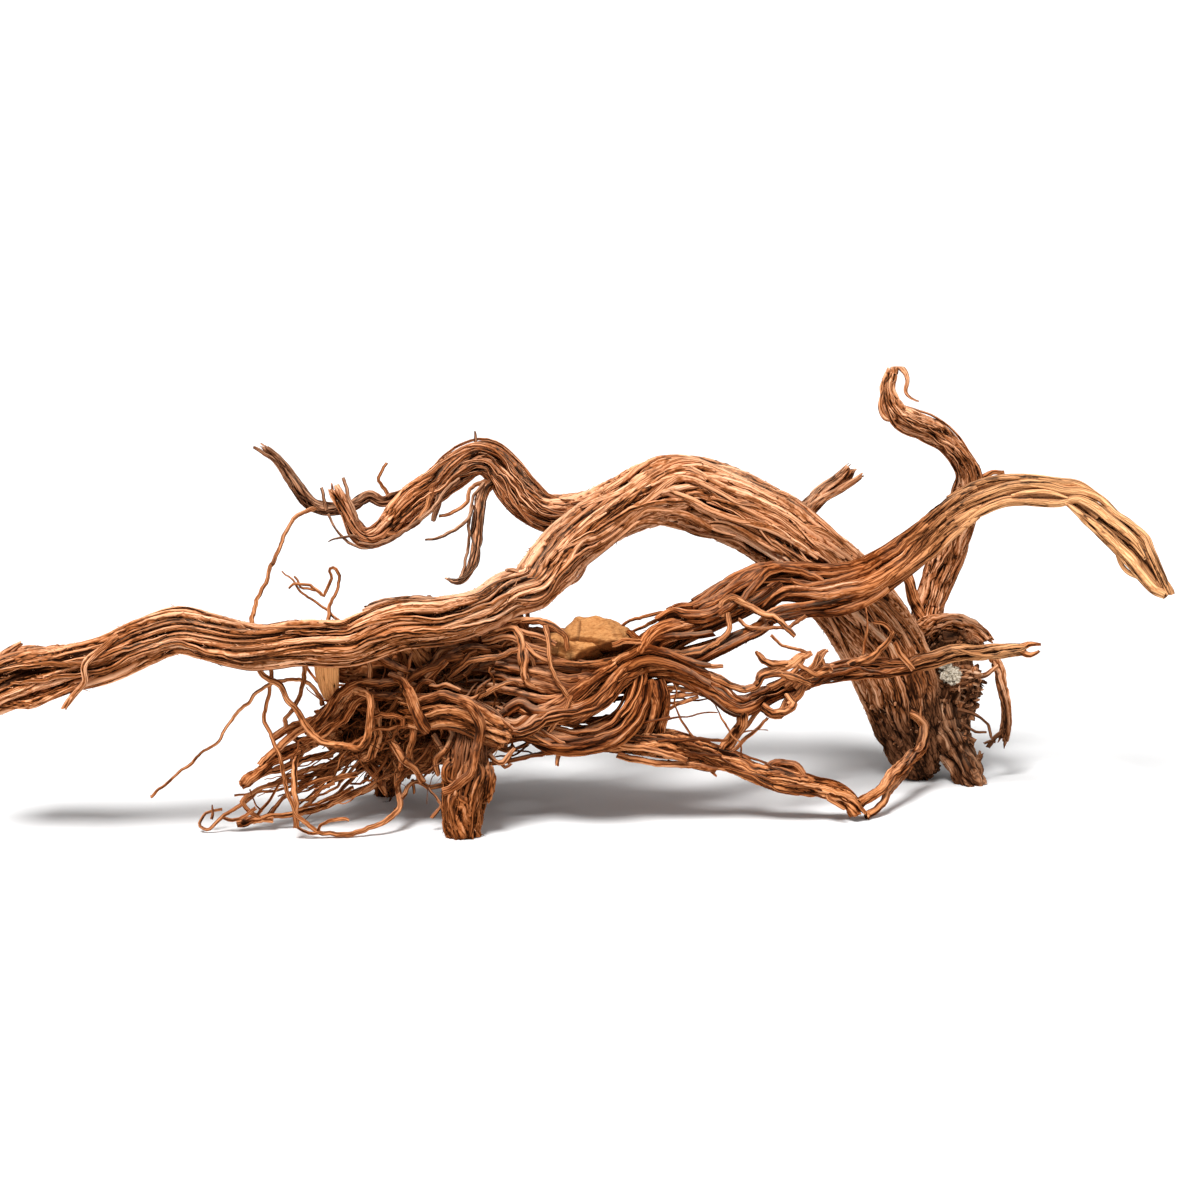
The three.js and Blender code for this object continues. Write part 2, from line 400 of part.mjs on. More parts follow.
// A mesh becomes a solid, so that it can be joined or cut.
const MERGE_DISTANCE = 1e-3;
const SHORTEST_EDGE = 0.2;
function solidOf(geometry) {
  geometry.deleteAttribute("normal");
  geometry.deleteAttribute("uv");
  const merged = mergeVertices(geometry, MERGE_DISTANCE);
  return new wasm.Manifold(
    new wasm.Mesh({
      numProp: 3,
      vertProperties: merged.getAttribute("position").array,
      triVerts: new Uint32Array(merged.index.array),
      tolerance: SHORTEST_EDGE,
    }),
  );
}

function geometryOf(solid) {
  const mesh = solid.getMesh();
  const vertices = new Float32Array(mesh.numVert * 3);
  for (let i = 0; i < mesh.numVert; i++) {
    vertices.set(mesh.vertProperties.subarray(i * mesh.numProp, i * mesh.numProp + 3), i * 3);
  }
  const geometry = new THREE.BufferGeometry();
  geometry.setAttribute("position", new THREE.BufferAttribute(vertices, 3));
  geometry.setIndex(new THREE.BufferAttribute(mesh.triVerts, 1));
  geometry.computeVertexNormals();
  return geometry;
}

function largestBody(solid) {
  return solid.decompose().reduce((kept, next) => (next.volume() > kept.volume() ? next : kept));
}

const grown = [...LIMBS.map(limb), ...ROOTLETS.map(rootlet), ...tangleRoutes().map(rootlet)].map(solidOf);
const joined = grown.reduce((whole, next) => whole.add(next));

// The ground and the stone take their room out of the root.
const GROUND_SPAN = 1200;
const GROUND_DEPTH = 60;
const ground = solidOf(new THREE.BoxGeometry(GROUND_SPAN, GROUND_SPAN, GROUND_DEPTH).translate(0, 0, -GROUND_DEPTH / 2));
const rootSolid = largestBody(joined.subtract(ground).subtract(solidOf(stoneGeometry(STONE_CLEARANCE))));

const root = new THREE.Mesh(
  geometryOf(rootSolid),
  new THREE.MeshStandardMaterial({ color: BARK_BROWN, roughness: 0.85, metalness: 0 }),
);
root.name = "root";

const stone = new THREE.Mesh(
  stoneGeometry(0),
  new THREE.MeshStandardMaterial({ color: STONE_OCHRE, roughness: 0.8, metalness: 0 }),
);
stone.name = "stone";

const dryRoot = new THREE.Group();
dryRoot.add(root, stone);

export default dryRoot;
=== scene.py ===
import math

import bpy
import bmesh
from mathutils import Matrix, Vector, noise


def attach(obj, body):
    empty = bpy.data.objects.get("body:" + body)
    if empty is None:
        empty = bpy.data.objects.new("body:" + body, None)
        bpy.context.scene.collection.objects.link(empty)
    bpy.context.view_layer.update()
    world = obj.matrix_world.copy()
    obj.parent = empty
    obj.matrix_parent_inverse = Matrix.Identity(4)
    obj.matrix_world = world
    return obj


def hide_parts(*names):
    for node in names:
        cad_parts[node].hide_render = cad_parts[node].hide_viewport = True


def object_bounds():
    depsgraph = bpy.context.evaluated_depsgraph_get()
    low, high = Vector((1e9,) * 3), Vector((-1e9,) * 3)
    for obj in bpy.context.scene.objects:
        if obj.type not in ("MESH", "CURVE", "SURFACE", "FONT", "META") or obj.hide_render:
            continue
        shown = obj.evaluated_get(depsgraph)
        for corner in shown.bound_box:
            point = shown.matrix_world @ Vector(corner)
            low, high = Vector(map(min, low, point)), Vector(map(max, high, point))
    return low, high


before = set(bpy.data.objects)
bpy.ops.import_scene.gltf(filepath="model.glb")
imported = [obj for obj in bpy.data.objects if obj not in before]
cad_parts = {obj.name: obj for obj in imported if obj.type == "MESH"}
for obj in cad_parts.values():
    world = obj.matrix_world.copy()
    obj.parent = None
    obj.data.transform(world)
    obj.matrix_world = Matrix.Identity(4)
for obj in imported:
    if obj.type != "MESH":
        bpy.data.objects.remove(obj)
CAD_LOW, CAD_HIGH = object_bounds()

scene = bpy.context.scene
scene.view_settings.view_transform = "Standard"

# Trunk limb
# The thick limb that rises from the stump over the crest and runs out to the left. Its skin is fibres grown
# together: they stand at different heights, run on for a hand's breadth, then end between their neighbours.
MM = 0.001
FULL_TURN = 2 * math.pi
# the root is seen from the front: how far off, how steeply from above, and where the line of sight meets it
EYE_DISTANCE = 2000
EYE_TILT = math.radians(12)
EYE_LINE_UP = 143
ACROSS = Vector((1, 0, 0))
UPWARD = Vector((0, math.sin(EYE_TILT), math.cos(EYE_TILT)))
ONWARD = Vector((0, math.cos(EYE_TILT), -math.sin(EYE_TILT)))
# the point that is the origin of the part's frame
MIDDLE = Vector((-14, 83.45, 0))
# the finer form stays this far inside the solid's box, and on the ground
INSIDE = 0.0003
LOW_CORNER = Vector((CAD_LOW[0] + INSIDE, CAD_LOW[1] + INSIDE, 0.0))
HIGH_CORNER = Vector(CAD_HIGH) - Vector((INSIDE, INSIDE, INSIDE))


def place(across, up, back):
    """A point given in millimetres as it is seen from the front, in metres in the part's frame."""
    spread = 1 + back / EYE_DISTANCE
    point = UPWARD * EYE_LINE_UP + ACROSS * (across * spread)
    point = point + UPWARD * ((up - EYE_LINE_UP) * spread) + ONWARD * back
    return (point - MIDDLE) * MM


class Value:
    """What a node puts out. Values add, multiply and so on with each other, with numbers and with tuples."""

    def __init__(self, graph, socket):
        self.graph = graph
        self.socket = socket

    def sine(self):
        return self.graph.math("SINE", self)

    def cosine(self):
        return self.graph.math("COSINE", self)

    def part(self, index):
        """One of the three numbers of a vector or colour."""
        return self.graph.get("ShaderNodeSeparateXYZ", {0: self}, index)

    def range(self, low, high, to_low=0.0, to_high=1.0, smooth=False):
        """The value brought from one range to another, and kept in it."""
        sockets = {"Value": self, "From Min": low, "From Max": high, "To Min": to_low, "To Max": to_high}
        kind = "SMOOTHSTEP" if smooth else "LINEAR"
        return self.graph.get("ShaderNodeMapRange", sockets, interpolation_type=kind)

    def mix(self, first, second):
        """The first colour where the value is 0, the second where it is 1."""
        return self.graph.get("ShaderNodeMix", {0: self, 6: first, 7: second}, 2, data_type="RGBA")


STEPS = {"add": "ADD", "sub": "SUBTRACT", "mul": "MULTIPLY", "truediv": "DIVIDE", "pow": "POWER"}
for step, operation in STEPS.items():
    def forward(self, other, operation=operation):
        return self.graph.reckon(operation, self, other)

    def backward(self, other, operation=operation):
        return self.graph.reckon(operation, other, self)

    setattr(Value, f"__{step}__", forward)
    setattr(Value, f"__r{step}__", backward)


def is_vector(item):
    return isinstance(item, tuple) or isinstance(item, Value) and item.socket.type in ("VECTOR", "RGBA")


class Graph:
    """Adds nodes to a tree; a number, a tuple or another node's value can go into any socket."""

    def __init__(self, tree):
        self.tree = tree

    def node(self, kind, sockets=None, **settings):
        node = self.tree.nodes.new(kind)
        for key, value in settings.items():
            setattr(node, key, value)
        for key, value in (sockets or {}).items():
            self.feed(node.inputs[key], value)
        return node

    def feed(self, socket, value):
        if isinstance(value, Value):
            self.tree.links.new(value.socket, socket)
        else:
            socket.default_value = value

    def get(self, kind, sockets=None, output=0, **settings):
        """What a new node puts out."""
        return Value(self, self.node(kind, sockets, **settings).outputs[output])

    def given(self):
        """The tree's own inputs, by name."""
        return {socket.name: Value(self, socket) for socket in self.node("NodeGroupInput").outputs}

    def reckon(self, operation, first, second):
        """One step of arithmetic; a vector times a number is scaled."""
        if not is_vector(first):
            return self.math(operation, first, second)
        if is_vector(second):
            return self.vector(operation, first, second)
        return self.get("ShaderNodeVectorMath", {0: first, "Scale": second}, operation="SCALE")

    def math(self, operation, *values):
        return self.get("ShaderNodeMath", dict(enumerate(values)), operation=operation)

    def vector(self, operation, *values):
        output = "Value" if operation in ("DOT_PRODUCT", "LENGTH", "DISTANCE") else "Vector"
        return self.get("ShaderNodeVectorMath", dict(enumerate(values)), output, operation=operation)

    def combine(self, x, y, z):
        return self.get("ShaderNodeCombineXYZ", {0: x, 1: y, 2: z})

    def noise(self, where, scale, detail=2.0, roughness=0.5, distortion=0.0, output=0):
        """A number that changes slowly over space, round a half."""
        sockets = {"Vector": where, "Scale": scale, "Detail": detail}
        sockets |= {"Roughness": roughness, "Distortion": distortion}
        return self.get("ShaderNodeTexNoise", sockets, output)

    def drift(self, where, scale, detail=2.0, roughness=0.5):
        """A vector that changes slowly over space, round zero."""
        return self.noise(where, scale, detail, roughness, output=1) - (0.5, 0.5, 0.5)

    def cells(self, where, feature="DISTANCE_TO_EDGE", output=0):
        """Cells that fill space: how far off the next cell is, or which cell this is."""
        return self.get("ShaderNodeTexVoronoi", {"Vector": where, "Scale": 1.0}, output, feature=feature)

    def draw(self, low, high, seed, salt):
        """A random number or vector for each element; every draw from a seed has its own salt."""
        kind = "FunctionNodeRandomValue"
        if isinstance(low, tuple):
            return self.get(kind, {0: low, 1: high, 8: seed + salt}, data_type="FLOAT_VECTOR")
        return self.get(kind, {2: low, 3: high, 8: seed + salt}, 1, data_type="FLOAT")

    def position(self):
        return self.get("GeometryNodeInputPosition")

    def named(self, name, kind="FLOAT"):
        return self.get("GeometryNodeInputNamedAttribute", {"Name": name}, data_type=kind)

    def store(self, geometry, domain="POINT", **values):
        """The geometry with values kept on it under their names."""
        for name, value in values.items():
            sockets = {"Geometry": geometry, "Name": name, "Value": value}
            kind = "FLOAT_VECTOR" if is_vector(value) else "FLOAT"
            geometry = self.get("GeometryNodeStoreNamedAttribute", sockets, data_type=kind, domain=domain)
        return geometry

    def move(self, geometry, **sockets):
        return self.get("GeometryNodeSetPosition", {"Geometry": geometry, **sockets})

    def resample(self, curve, spacing):
        return self.get("GeometryNodeResampleCurve", {"Curve": curve, "Length": spacing}, mode="LENGTH")

    def tube(self, curve, sides):
        """A round tube along a curve, as thick as its girth; it keeps how far round each point is."""
        profile = self.get("GeometryNodeCurvePrimitiveCircle", {"Resolution": sides, "Radius": 1.0})
        profile = self.store(profile, turn=self.get("GeometryNodeSplineParameter") * FULL_TURN)
        sockets = {"Curve": curve, "Profile Curve": profile, "Scale": self.named("girth"), "Fill Caps": True}
        return self.get("GeometryNodeCurveToMesh", sockets)

    def finish(self, geometry, given, smooth=True):
        """Ends the tree: the mesh stays in its box, loses spent values and gets its material."""
        kept_in = self.vector("MAXIMUM", self.position(), given["Low corner"])
        geometry = self.move(geometry, Position=self.vector("MINIMUM", kept_in, given["High corner"]))
        for name in ("run", "whole", "girth", "turn", "axis", "phase", "lot", "stout"):
            geometry = self.get("GeometryNodeRemoveAttribute", {"Geometry": geometry, "Name": name})
        if smooth:
            geometry = self.get("GeometryNodeSetShadeSmooth", {"Geometry": geometry})
        geometry = self.get("GeometryNodeRealizeInstances", {"Geometry": geometry})
        sockets = {"Geometry": geometry, "Material": given["Material"]}
        self.node("NodeGroupOutput", {0: self.get("GeometryNodeSetMaterial", sockets)})


def add_inputs(tree, defaults):
    """Named inputs for a tree; a default tells its kind."""
    for label, default in defaults.items():
        kind = {int: "Int", float: "Float"}.get(type(default)) or {3: "Vector", 4: "Color"}[len(default)]
        socket = tree.interface.new_socket(label, in_out="INPUT", socket_type="NodeSocket" + kind)
        socket.default_value = default


def geometry_tree(name, defaults):
    """A Geometry Nodes tree with named inputs, and the values of these inputs."""
    tree = bpy.data.node_groups.new(name, "GeometryNodeTree")
    tree.interface.new_socket("Geometry", in_out="OUTPUT", socket_type="NodeSocketGeometry")
    tree.interface.new_socket("Geometry", in_out="INPUT", socket_type="NodeSocketGeometry")
    tree.interface.new_socket("Material", in_out="INPUT", socket_type="NodeSocketMaterial")
    add_inputs(tree, {"Low corner": (0, 0, 0), "High corner": (0, 0, 0), **defaults})
    graph = Graph(tree)
    return graph, graph.given()


# The tree "Fibrous skin" turns guide curves into limbs: rings along the curve, then ridges and cracks from
# cells that are stretched along the grain, then ends that break off fibre by fibre.
skin, given = geometry_tree(
    "Fibrous skin",
    {
        "Sides": 48, "Ring spacing": 0.002, "Fibre width": 0.004, "Fibre length": 0.09, "Relief": 0.003,
        "Crack depth": 0.004, "Turns per metre": 1.0, "Waviness": 0.5, "Knobs": 0.1, "Fray": 0.006,
        "Wiggle": 0.0, "Seed": 0.0,
    },
)
curve = skin.resample(given["Geometry"], given["Ring spacing"])
curve = skin.move(curve, Offset=skin.drift(skin.position(), 75.0, 3.0, 0.6) * given["Wiggle"])
curve = skin.store(
    curve, run=skin.get("GeometryNodeSplineParameter", output="Length"),
    whole=skin.get("GeometryNodeSplineLength", output="Length"), girth=skin.get("GeometryNodeInputRadius"),
    axis=skin.position(), along=skin.get("GeometryNodeInputTangent"),
)
tube = skin.tube(curve, given["Sides"])
run, whole, girth, turn = (skin.named(name) for name in ("run", "whole", "girth", "turn"))
axis, along = (skin.named(name, "FLOAT_VECTOR") for name in ("axis", "along"))
# where a limb is in space makes its pattern its own, and the slow noise bends the grain
bend = skin.noise(axis * 14.0 + skin.combine(given["Seed"], 0.0, 0.0), 1.0, 1.0) - 0.5
ripple = skin.noise(skin.combine(run * 38.0, turn.sine(), turn.cosine() + given["Seed"]), 1.0) - 0.5
wound = turn + run * (given["Turns per metre"] * FULL_TURN)
wound = wound + ripple * given["Waviness"] + bend * girth.range(0.008, 0.02, 1.6, 0.6)
# fibres are cells; finer cells are the hairs on them, and broader ones part at the cracks
reach = girth / given["Fibre width"]
lengthwise = run / given["Fibre length"] + given["Seed"] * 7.3
grain = skin.combine(wound.cosine() * reach, wound.sine() * reach, lengthwise)
stand = skin.cells(grain, "F1", "Color").part(0)
fibre = skin.cells(grain).range(0.0, 0.2) ** 0.5
hair = skin.cells(grain * (2.3, 2.3, 1.7)).range(0.0, 0.3) ** 0.7
crack = skin.cells(grain * (0.42, 0.42, 0.55)).range(0.0, 0.11) ** 0.6
height = fibre * 0.5 + hair * 0.14 + stand * fibre * 0.36
knob = skin.combine(run * 60.0, turn.sine() * 0.8, turn.cosine() * 0.8 + given["Seed"]) + axis * 30.0
knob = skin.noise(knob, 1.0) - 0.5
# fibres go on through the floor of a crack
sunk = (1.0 - crack) * (1.0 - fibre * 0.55)
push = (height - 0.56) * given["Relief"] - sunk * given["Crack depth"] + knob * given["Knobs"] * girth
# thin stretches can't be cut deeper than they are thick
push = skin.math("MAXIMUM", push, girth * -0.75)
outward = skin.vector("NORMALIZE", skin.position() - axis)
to_start = run.range(0.0, given["Fray"], 1.0, 0.0)
to_end = (whole - run).range(0.0, given["Fray"], 1.0, 0.0)
pull = (to_start - to_end) * ((1.0 - stand * fibre) * given["Fray"])
moved = skin.move(tube, Offset=outward * push + along * pull)
# crest is low in grooves and crack floors: the wood's colour paints shade there and highlights on crests
crest = (fibre * 0.62 + (hair * 0.16 + stand * 0.16)) * sunk.range(0.1, 0.9, 1.0, 0.08)
# thin roots keep a smooth bark
thin = girth.range(0.0012, 0.0042, 0.85, 0.0)
crest = crest * (1.0 - thin) + thin * 0.68
grain = skin.combine(wound.cosine() * girth, wound.sine() * girth, run)
skin.finish(skin.store(moved, crest=crest, strand=stand, grain=grain), given)


def linked(name, data):
    """A new object in the scene."""
    thing = bpy.data.objects.new(name, data)
    scene.collection.objects.link(thing)
    return thing


def guide_curves(name, routes, roundness=1.0):
    """Curves through routes of [across, up, back, radius] points, in millimetres as seen from the front."""
    data = bpy.data.curves.new(name, "CURVE")
    data.dimensions = "3D"
    data.resolution_u = 10
    for route in routes:
        spline = data.splines.new("BEZIER")
        spline.bezier_points.add(len(route) - 1)
        for point, (across, up, back, radius) in zip(spline.bezier_points, route):
            point.co = place(across, up, back)
            point.radius = radius * (1 + back / EYE_DISTANCE) * MM
        points = [point.co.copy() for point in spline.bezier_points]
        for index, point in enumerate(spline.bezier_points):
            before, after = points[max(index - 1, 0)], points[min(index + 1, len(points) - 1)]
            way = (after - before).normalized() * (roundness / 3)
            point.handle_left_type = point.handle_right_type = "FREE"
            point.handle_left = point.co - way * (point.co - before).length
            point.handle_right = point.co + way * (after - point.co).length
    return linked(name, data)


def part_of_root(piece):
    """The piece rides on the root in place of its solid."""
    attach(piece, "root")
    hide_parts("root")
    return piece


def grown(name, bearer, graph, material, **values):
    """What a tree makes of its bearer, as a plain mesh; underscores in the inputs' names stand for spaces."""
    modifier = bearer.modifiers.new(graph.tree.name, "NODES")
    modifier.node_group = graph.tree
    values |= {"Low_corner": LOW_CORNER, "High_corner": HIGH_CORNER, "Material": material}
    for item in graph.tree.interface.items_tree:
        label = item.name.replace(" ", "_")
        if item.in_out == "INPUT" and label in values:
            modifier[item.identifier] = values[label]
    shape = bearer.evaluated_get(bpy.context.evaluated_depsgraph_get())
    data = bpy.data.meshes.new_from_object(shape)
    guide = bearer.data
    bpy.data.objects.remove(bearer)
    (bpy.data.curves if isinstance(guide, bpy.types.Curve) else bpy.data.meshes).remove(guide)
    data.name = name
    return part_of_root(linked(name, data))


def limbs(name, routes, material, roundness=1.0, **values):
    """Limbs of the root along their routes."""
    return grown(name, guide_curves(name + " guides", routes, roundness), skin, material, **values)


# The group "Dry wood" works out the colour, roughness and small relief of weathered wood from the crest,
# strand and grain values that the skin carries. Its colour paints shade into the grooves and cracks and
# light on the crests and upward faces.
wood = Graph(bpy.data.node_groups.new("Dry wood", "ShaderNodeTree"))
add_inputs(
    wood.tree,
    {
        "Crest colour": (0.84, 0.41, 0.21, 1), "Middle colour": (0.32, 0.094, 0.025, 1),
        "Groove colour": (0.016, 0.0038, 0.001, 1), "Bleach": 0.35, "Dirt": 0.3, "Tan": 0.0,
        "Rot place": (0, 0, 0), "Rot reach": 0.0, "Lichen place": (0, 0, 0), "Lichen reach": 0.0,
    },
)
for label, kind in (("Colour", "Color"), ("Roughness", "Float"), ("Relief", "Float")):
    wood.tree.interface.new_socket(label, in_out="OUTPUT", socket_type="NodeSocket" + kind)
DARK_TAN = (0.62, 0.275, 0.108, 1)
PALE_TAN = (0.92, 0.525, 0.25, 1)
# a painted glint on the brightest crests, and a pale tone that is partly bleaching, partly painted light from
# above
GLINT = (0.97, 0.66, 0.45, 1)
BLEACH_AND_TOP_LIGHT = (0.86, 0.58, 0.39, 1)
SOIL = (0.085, 0.03, 0.013, 1)
# painted shade near the ground, in the grooves and on the crests
SHADE_IN_GROOVES = (0.018, 0.007, 0.0035, 1)
SHADE_ON_CRESTS = (0.20, 0.078, 0.034, 1)
DARK_LICHEN = (0.26, 0.20, 0.13, 1)
PALE_LICHEN = (0.74, 0.67, 0.55, 1)
given = wood.given()
grain_at = wood.get("ShaderNodeAttribute", output="Vector", attribute_name="grain")
crest_at, strand_at = (
    wood.get("ShaderNodeAttribute", output="Fac", attribute_name=name) for name in ("crest", "strand")
)
object_at = wood.get("ShaderNodeTexCoord", output="Object")
lines = wood.noise(grain_at * (900.0, 900.0, 28.0), 1.0, 4.0, 0.65)
streak = wood.noise(grain_at * (260.0, 260.0, 9.0), 1.0, 3.0, 0.55)
blotch = wood.noise(object_at, 22.0, 4.0, 0.6)
worn = wood.noise(object_at + (3.1, 1.7, 0.4), 9.0, 5.0, 0.62)
# drying has split the surface along the grain, in hairlines about a millimetre and a half apart; the
# colour below paints them dark, as shade
split = wood.cells(grain_at * (620.0, 620.0, 17.0) + wood.drift(object_at, 130.0) * 0.9).range(0.0, 0.16)
lit = crest_at + (lines - 0.5) * 0.5 + (streak - 0.5) * 0.38 + (strand_at - 0.5) * 0.25 - (1.0 - split) * 0.34
# towards the far right the wood is a yellower tan
tan = object_at.part(0).range(0.18, 0.30, smooth=True) * given["Tan"]
middle = tan.mix(given["Middle colour"], DARK_TAN)
top = tan.mix(given["Crest colour"], PALE_TAN)
# from groove through middle to crest colour: painted shade in grooves, cracks and split lines, painted
# highlight on the crests, over the grain's own streaks
colour = lit.range(0.14, 0.54, smooth=True).mix(given["Groove colour"], middle)
colour = lit.range(0.42, 0.86, smooth=True).mix(colour, top)
# a painted glint on the brightest crests, scaled by the same input as the bleaching
colour = (lit.range(0.78, 1.08, smooth=True) * (given["Bleach"] * 1.6)).mix(colour, GLINT)
# worn spots on upward faces turn paler: partly real bleaching, partly painted light from above
upness = wood.get("ShaderNodeNewGeometry", output="Normal").part(2)
bleach_and_top_light = upness.range(-0.1, 0.9, smooth=True) * worn.range(0.42, 0.66, smooth=True)
bleach_and_top_light = bleach_and_top_light * (given["Bleach"] * crest_at.range(0.3, 0.8))
colour = bleach_and_top_light.mix(colour, BLEACH_AND_TOP_LIGHT)
colour = (blotch.range(0.5, 0.72, smooth=True) * given["Dirt"]).mix(colour, SOIL)


def distance_from(label):
    """How far off a place is, measured in reaches of it."""
    distance = wood.vector("DISTANCE", object_at, given[label + " place"])
    return distance / wood.math("MAXIMUM", given[label + " reach"], 1e-5)


# painted shade round one place near the ground, and a crust of pale lichen round another
low_shade = (distance_from("Rot") + (blotch - 0.5) * 1.1).range(0.45, 1.1, 1.0, 0.0, smooth=True)
colour = (low_shade * 0.94).mix(colour, lit.range(0.2, 0.9).mix(SHADE_IN_GROOVES, SHADE_ON_CRESTS))
crust = wood.noise(object_at, 210.0, 4.0, 0.7) + 0.45 - distance_from("Lichen")
speck = wood.noise(object_at, 900.0, 3.0, 0.6).range(0.35, 0.65)
colour = crust.range(0.0, 0.16, smooth=True).mix(colour, speck.mix(DARK_LICHEN, PALE_LICHEN))
roughness = lines.range(0.3, 0.7, 0.66, 0.9)
relief = lines * 0.7 + streak * 0.5 + split * 0.8
wood.node("NodeGroupOutput", {"Colour": colour, "Roughness": roughness, "Relief": relief})


def wood_material(name, crest, middle, **values):
    """A material of weathered wood; underscores in the inputs' names stand for spaces."""
    material = bpy.data.materials.new(name)
    material.use_nodes = True
    graph = Graph(material.node_tree)
    surface = material.node_tree.nodes["Principled BSDF"].inputs
    group = graph.node("ShaderNodeGroup", node_tree=wood.tree)
    values |= {"Crest_colour": (*crest, 1), "Middle_colour": (*middle, 1)}
    for label, value in values.items():
        group.inputs[label.replace("_", " ")].default_value = value
    colour, roughness, relief = (Value(graph, socket) for socket in group.outputs)
    graph.feed(surface["Base Color"], colour)
    graph.feed(surface["Roughness"], roughness)
    sockets = {"Height": relief, "Strength": 0.7, "Distance": 0.0008}
    graph.feed(surface["Normal"], graph.get("ShaderNodeBump", sockets))
    surface["Specular IOR Level"].default_value = 0.02
    return material


# the trunk's wood, with painted shade round its foot by the stump
trunk_wood = wood_material(
    "Trunk wood", (0.95, 0.48, 0.26), (0.40, 0.125, 0.036), Bleach=0.5, Dirt=0.35,
    Rot_place=place(206, 56, 128), Rot_reach=0.07,
)

TRUNK = [
    [196, 35, 139, 6], [193, 43, 136, 13.5], [188, 56, 131, 17.5], [184, 70, 127, 20.5], [179, 90, 122, 23.5],
    [170, 113, 116, 24.5], [157, 135, 110, 24], [139, 155, 103, 23], [120, 172, 97, 22], [98, 190, 90, 22],
    [74, 202, 84, 22], [52, 209, 78, 21], [34, 207, 70, 19], [16, 199, 62, 16.5], [0, 190, 54, 15.5],
    [-17, 178, 44, 15.5], [-31, 162, 34, 15.5], [-41, 150, 26, 14], [-55, 146, 18, 13], [-70, 137, 11, 12.5],
    [-90, 131, 2, 13.5], [-120, 128, -10, 14], [-140, 121, -18, 14], [-153, 117, -21, 13],
    [-180, 117.5, -26, 13], [-208, 115.5, -28, 13.5], [-235, 121, -28, 13.5], [-252, 125, -27.5, 13.5],
    [-272, 119, -26, 14], [-295, 108, -24, 14], [-320, 102, -21, 14], [-345, 98, -18, 16.5],
    [-380, 85, -12, 17],
]
trunk = limbs(
    "trunk_limb", [TRUNK], trunk_wood, Sides=140, Ring_spacing=0.002, Fibre_width=0.0046, Fibre_length=0.2,
    Relief=0.0044, Crack_depth=0.0055, Turns_per_metre=0.6, Waviness=0.24, Knobs=0.06, Fray=0.004,
    Wiggle=0.001, Seed=3.0,
)

# Loose strands and splinters
# Drying has let single strands come away from the limbs. Each follows its limb for a while, winds slowly
# round it, stands off it here and there and sinks back at both ends; short splinters stand up between them.
def strand_tubes(graph, guide, thick, lot, given):
    """Ends a tree: its curves become round strands, with ridges painted on, that carry what the wood's colour
    reads.
    """
    guide = graph.store(guide, run=graph.get("GeometryNodeSplineParameter", output="Length"), girth=thick)
    tube = graph.tube(guide, given["Sides"])
    run, turn, girth = (graph.named(name) for name in ("run", "turn", "girth"))
    # three light and dark stripes round each strand: painted ridge highlights and groove shade on a plain
    # tube
    crest = (turn * 3.0).sine().range(-1.0, 0.6, 0.36, 0.86) - lot * 0.2
    grain = graph.combine(turn.cosine() * girth, turn.sine() * girth, run + lot)
    graph.finish(graph.store(tube, crest=crest, strand=lot, grain=grain), given)


strands, given = geometry_tree(
    "Loose strands",
    {
        "Count": 20, "Sides": 7, "Ring spacing": 0.0026, "Thickness": 0.0012, "Length": 0.12, "Lift": 0.002,
        "Turns per metre": 1.0, "Wander": 1.6, "Sunk": 0.9, "Seed": 1.0,
    },
)
seed = given["Seed"]
guide = strands.resample(given["Geometry"], given["Ring spacing"])
guide = strands.store(guide, girth=strands.get("GeometryNodeInputRadius"))
sockets = {"Geometry": guide, "Amount": given["Count"]}
guide = strands.get("GeometryNodeDuplicateElements", sockets, domain="SPLINE")
# each copy keeps one stretch of the guide
share = given["Length"] / strands.get("GeometryNodeSplineLength", output="Length")
share = strands.math("MINIMUM", share * strands.draw(0.5, 1.5, seed, 1), 0.98)
first = strands.draw(0.0, 1.0, seed, 2) * (1.0 - share)
guide = strands.get("GeometryNodeTrimCurve", {"Curve": guide, 2: first, 3: first + share}, mode="FACTOR")
guide = strands.store(
    guide, domain="CURVE", phase=strands.draw(0.0, 1.0, seed, 3), lot=strands.draw(0.0, 1.0, seed, 4),
    stout=strands.draw(0.55, 1.45, seed, 5),
)
phase, lot, stout, girth = (strands.named(name) for name in ("phase", "lot", "stout", "girth"))
factor = strands.get("GeometryNodeSplineParameter")
run = strands.get("GeometryNodeSplineParameter", output="Length")
offset = strands.combine(run * 24.0, phase * 40.0, seed)
sway = strands.noise(offset, 1.0, 3.0, 0.6) - 0.5
rise = strands.noise(offset + (5.0, 9.0, 3.0), 0.8)
about = phase * FULL_TURN + sway * (given["Wander"] * 0.024 / girth)
about = about + run * (given["Turns per metre"] * FULL_TURN)
tangent = strands.get("GeometryNodeInputTangent")
depthwise = tangent * strands.vector("DOT_PRODUCT", tangent, (0.0, 1.0, 0.0))
depthwise = strands.vector("NORMALIZE", (0.0, 1.0, 0.0) - depthwise)
sideways = strands.vector("CROSS_PRODUCT", tangent, depthwise)
outward = depthwise * about.cosine() + sideways * about.sine()
ends = (factor * (1.0 - factor) * 4.0) ** 0.5
thick = given["Thickness"] * stout * ends.range(0.0, 0.8, 0.35, 1.0) * rise.range(0.3, 0.7, 0.8, 1.2)
off = given["Lift"] * rise.range(0.42, 0.72) * ends
far = girth * ends.range(0.0, 0.5, given["Sunk"] - 0.12, given["Sunk"]) + off + thick * 0.6
strand_tubes(strands, strands.move(guide, Offset=outward * far), thick, lot, given)


def loose_strands(name, routes, material, **values):
    """Strands along the limbs that have these routes."""
    return grown(name, guide_curves(name + " guides", routes), strands, material, **values)


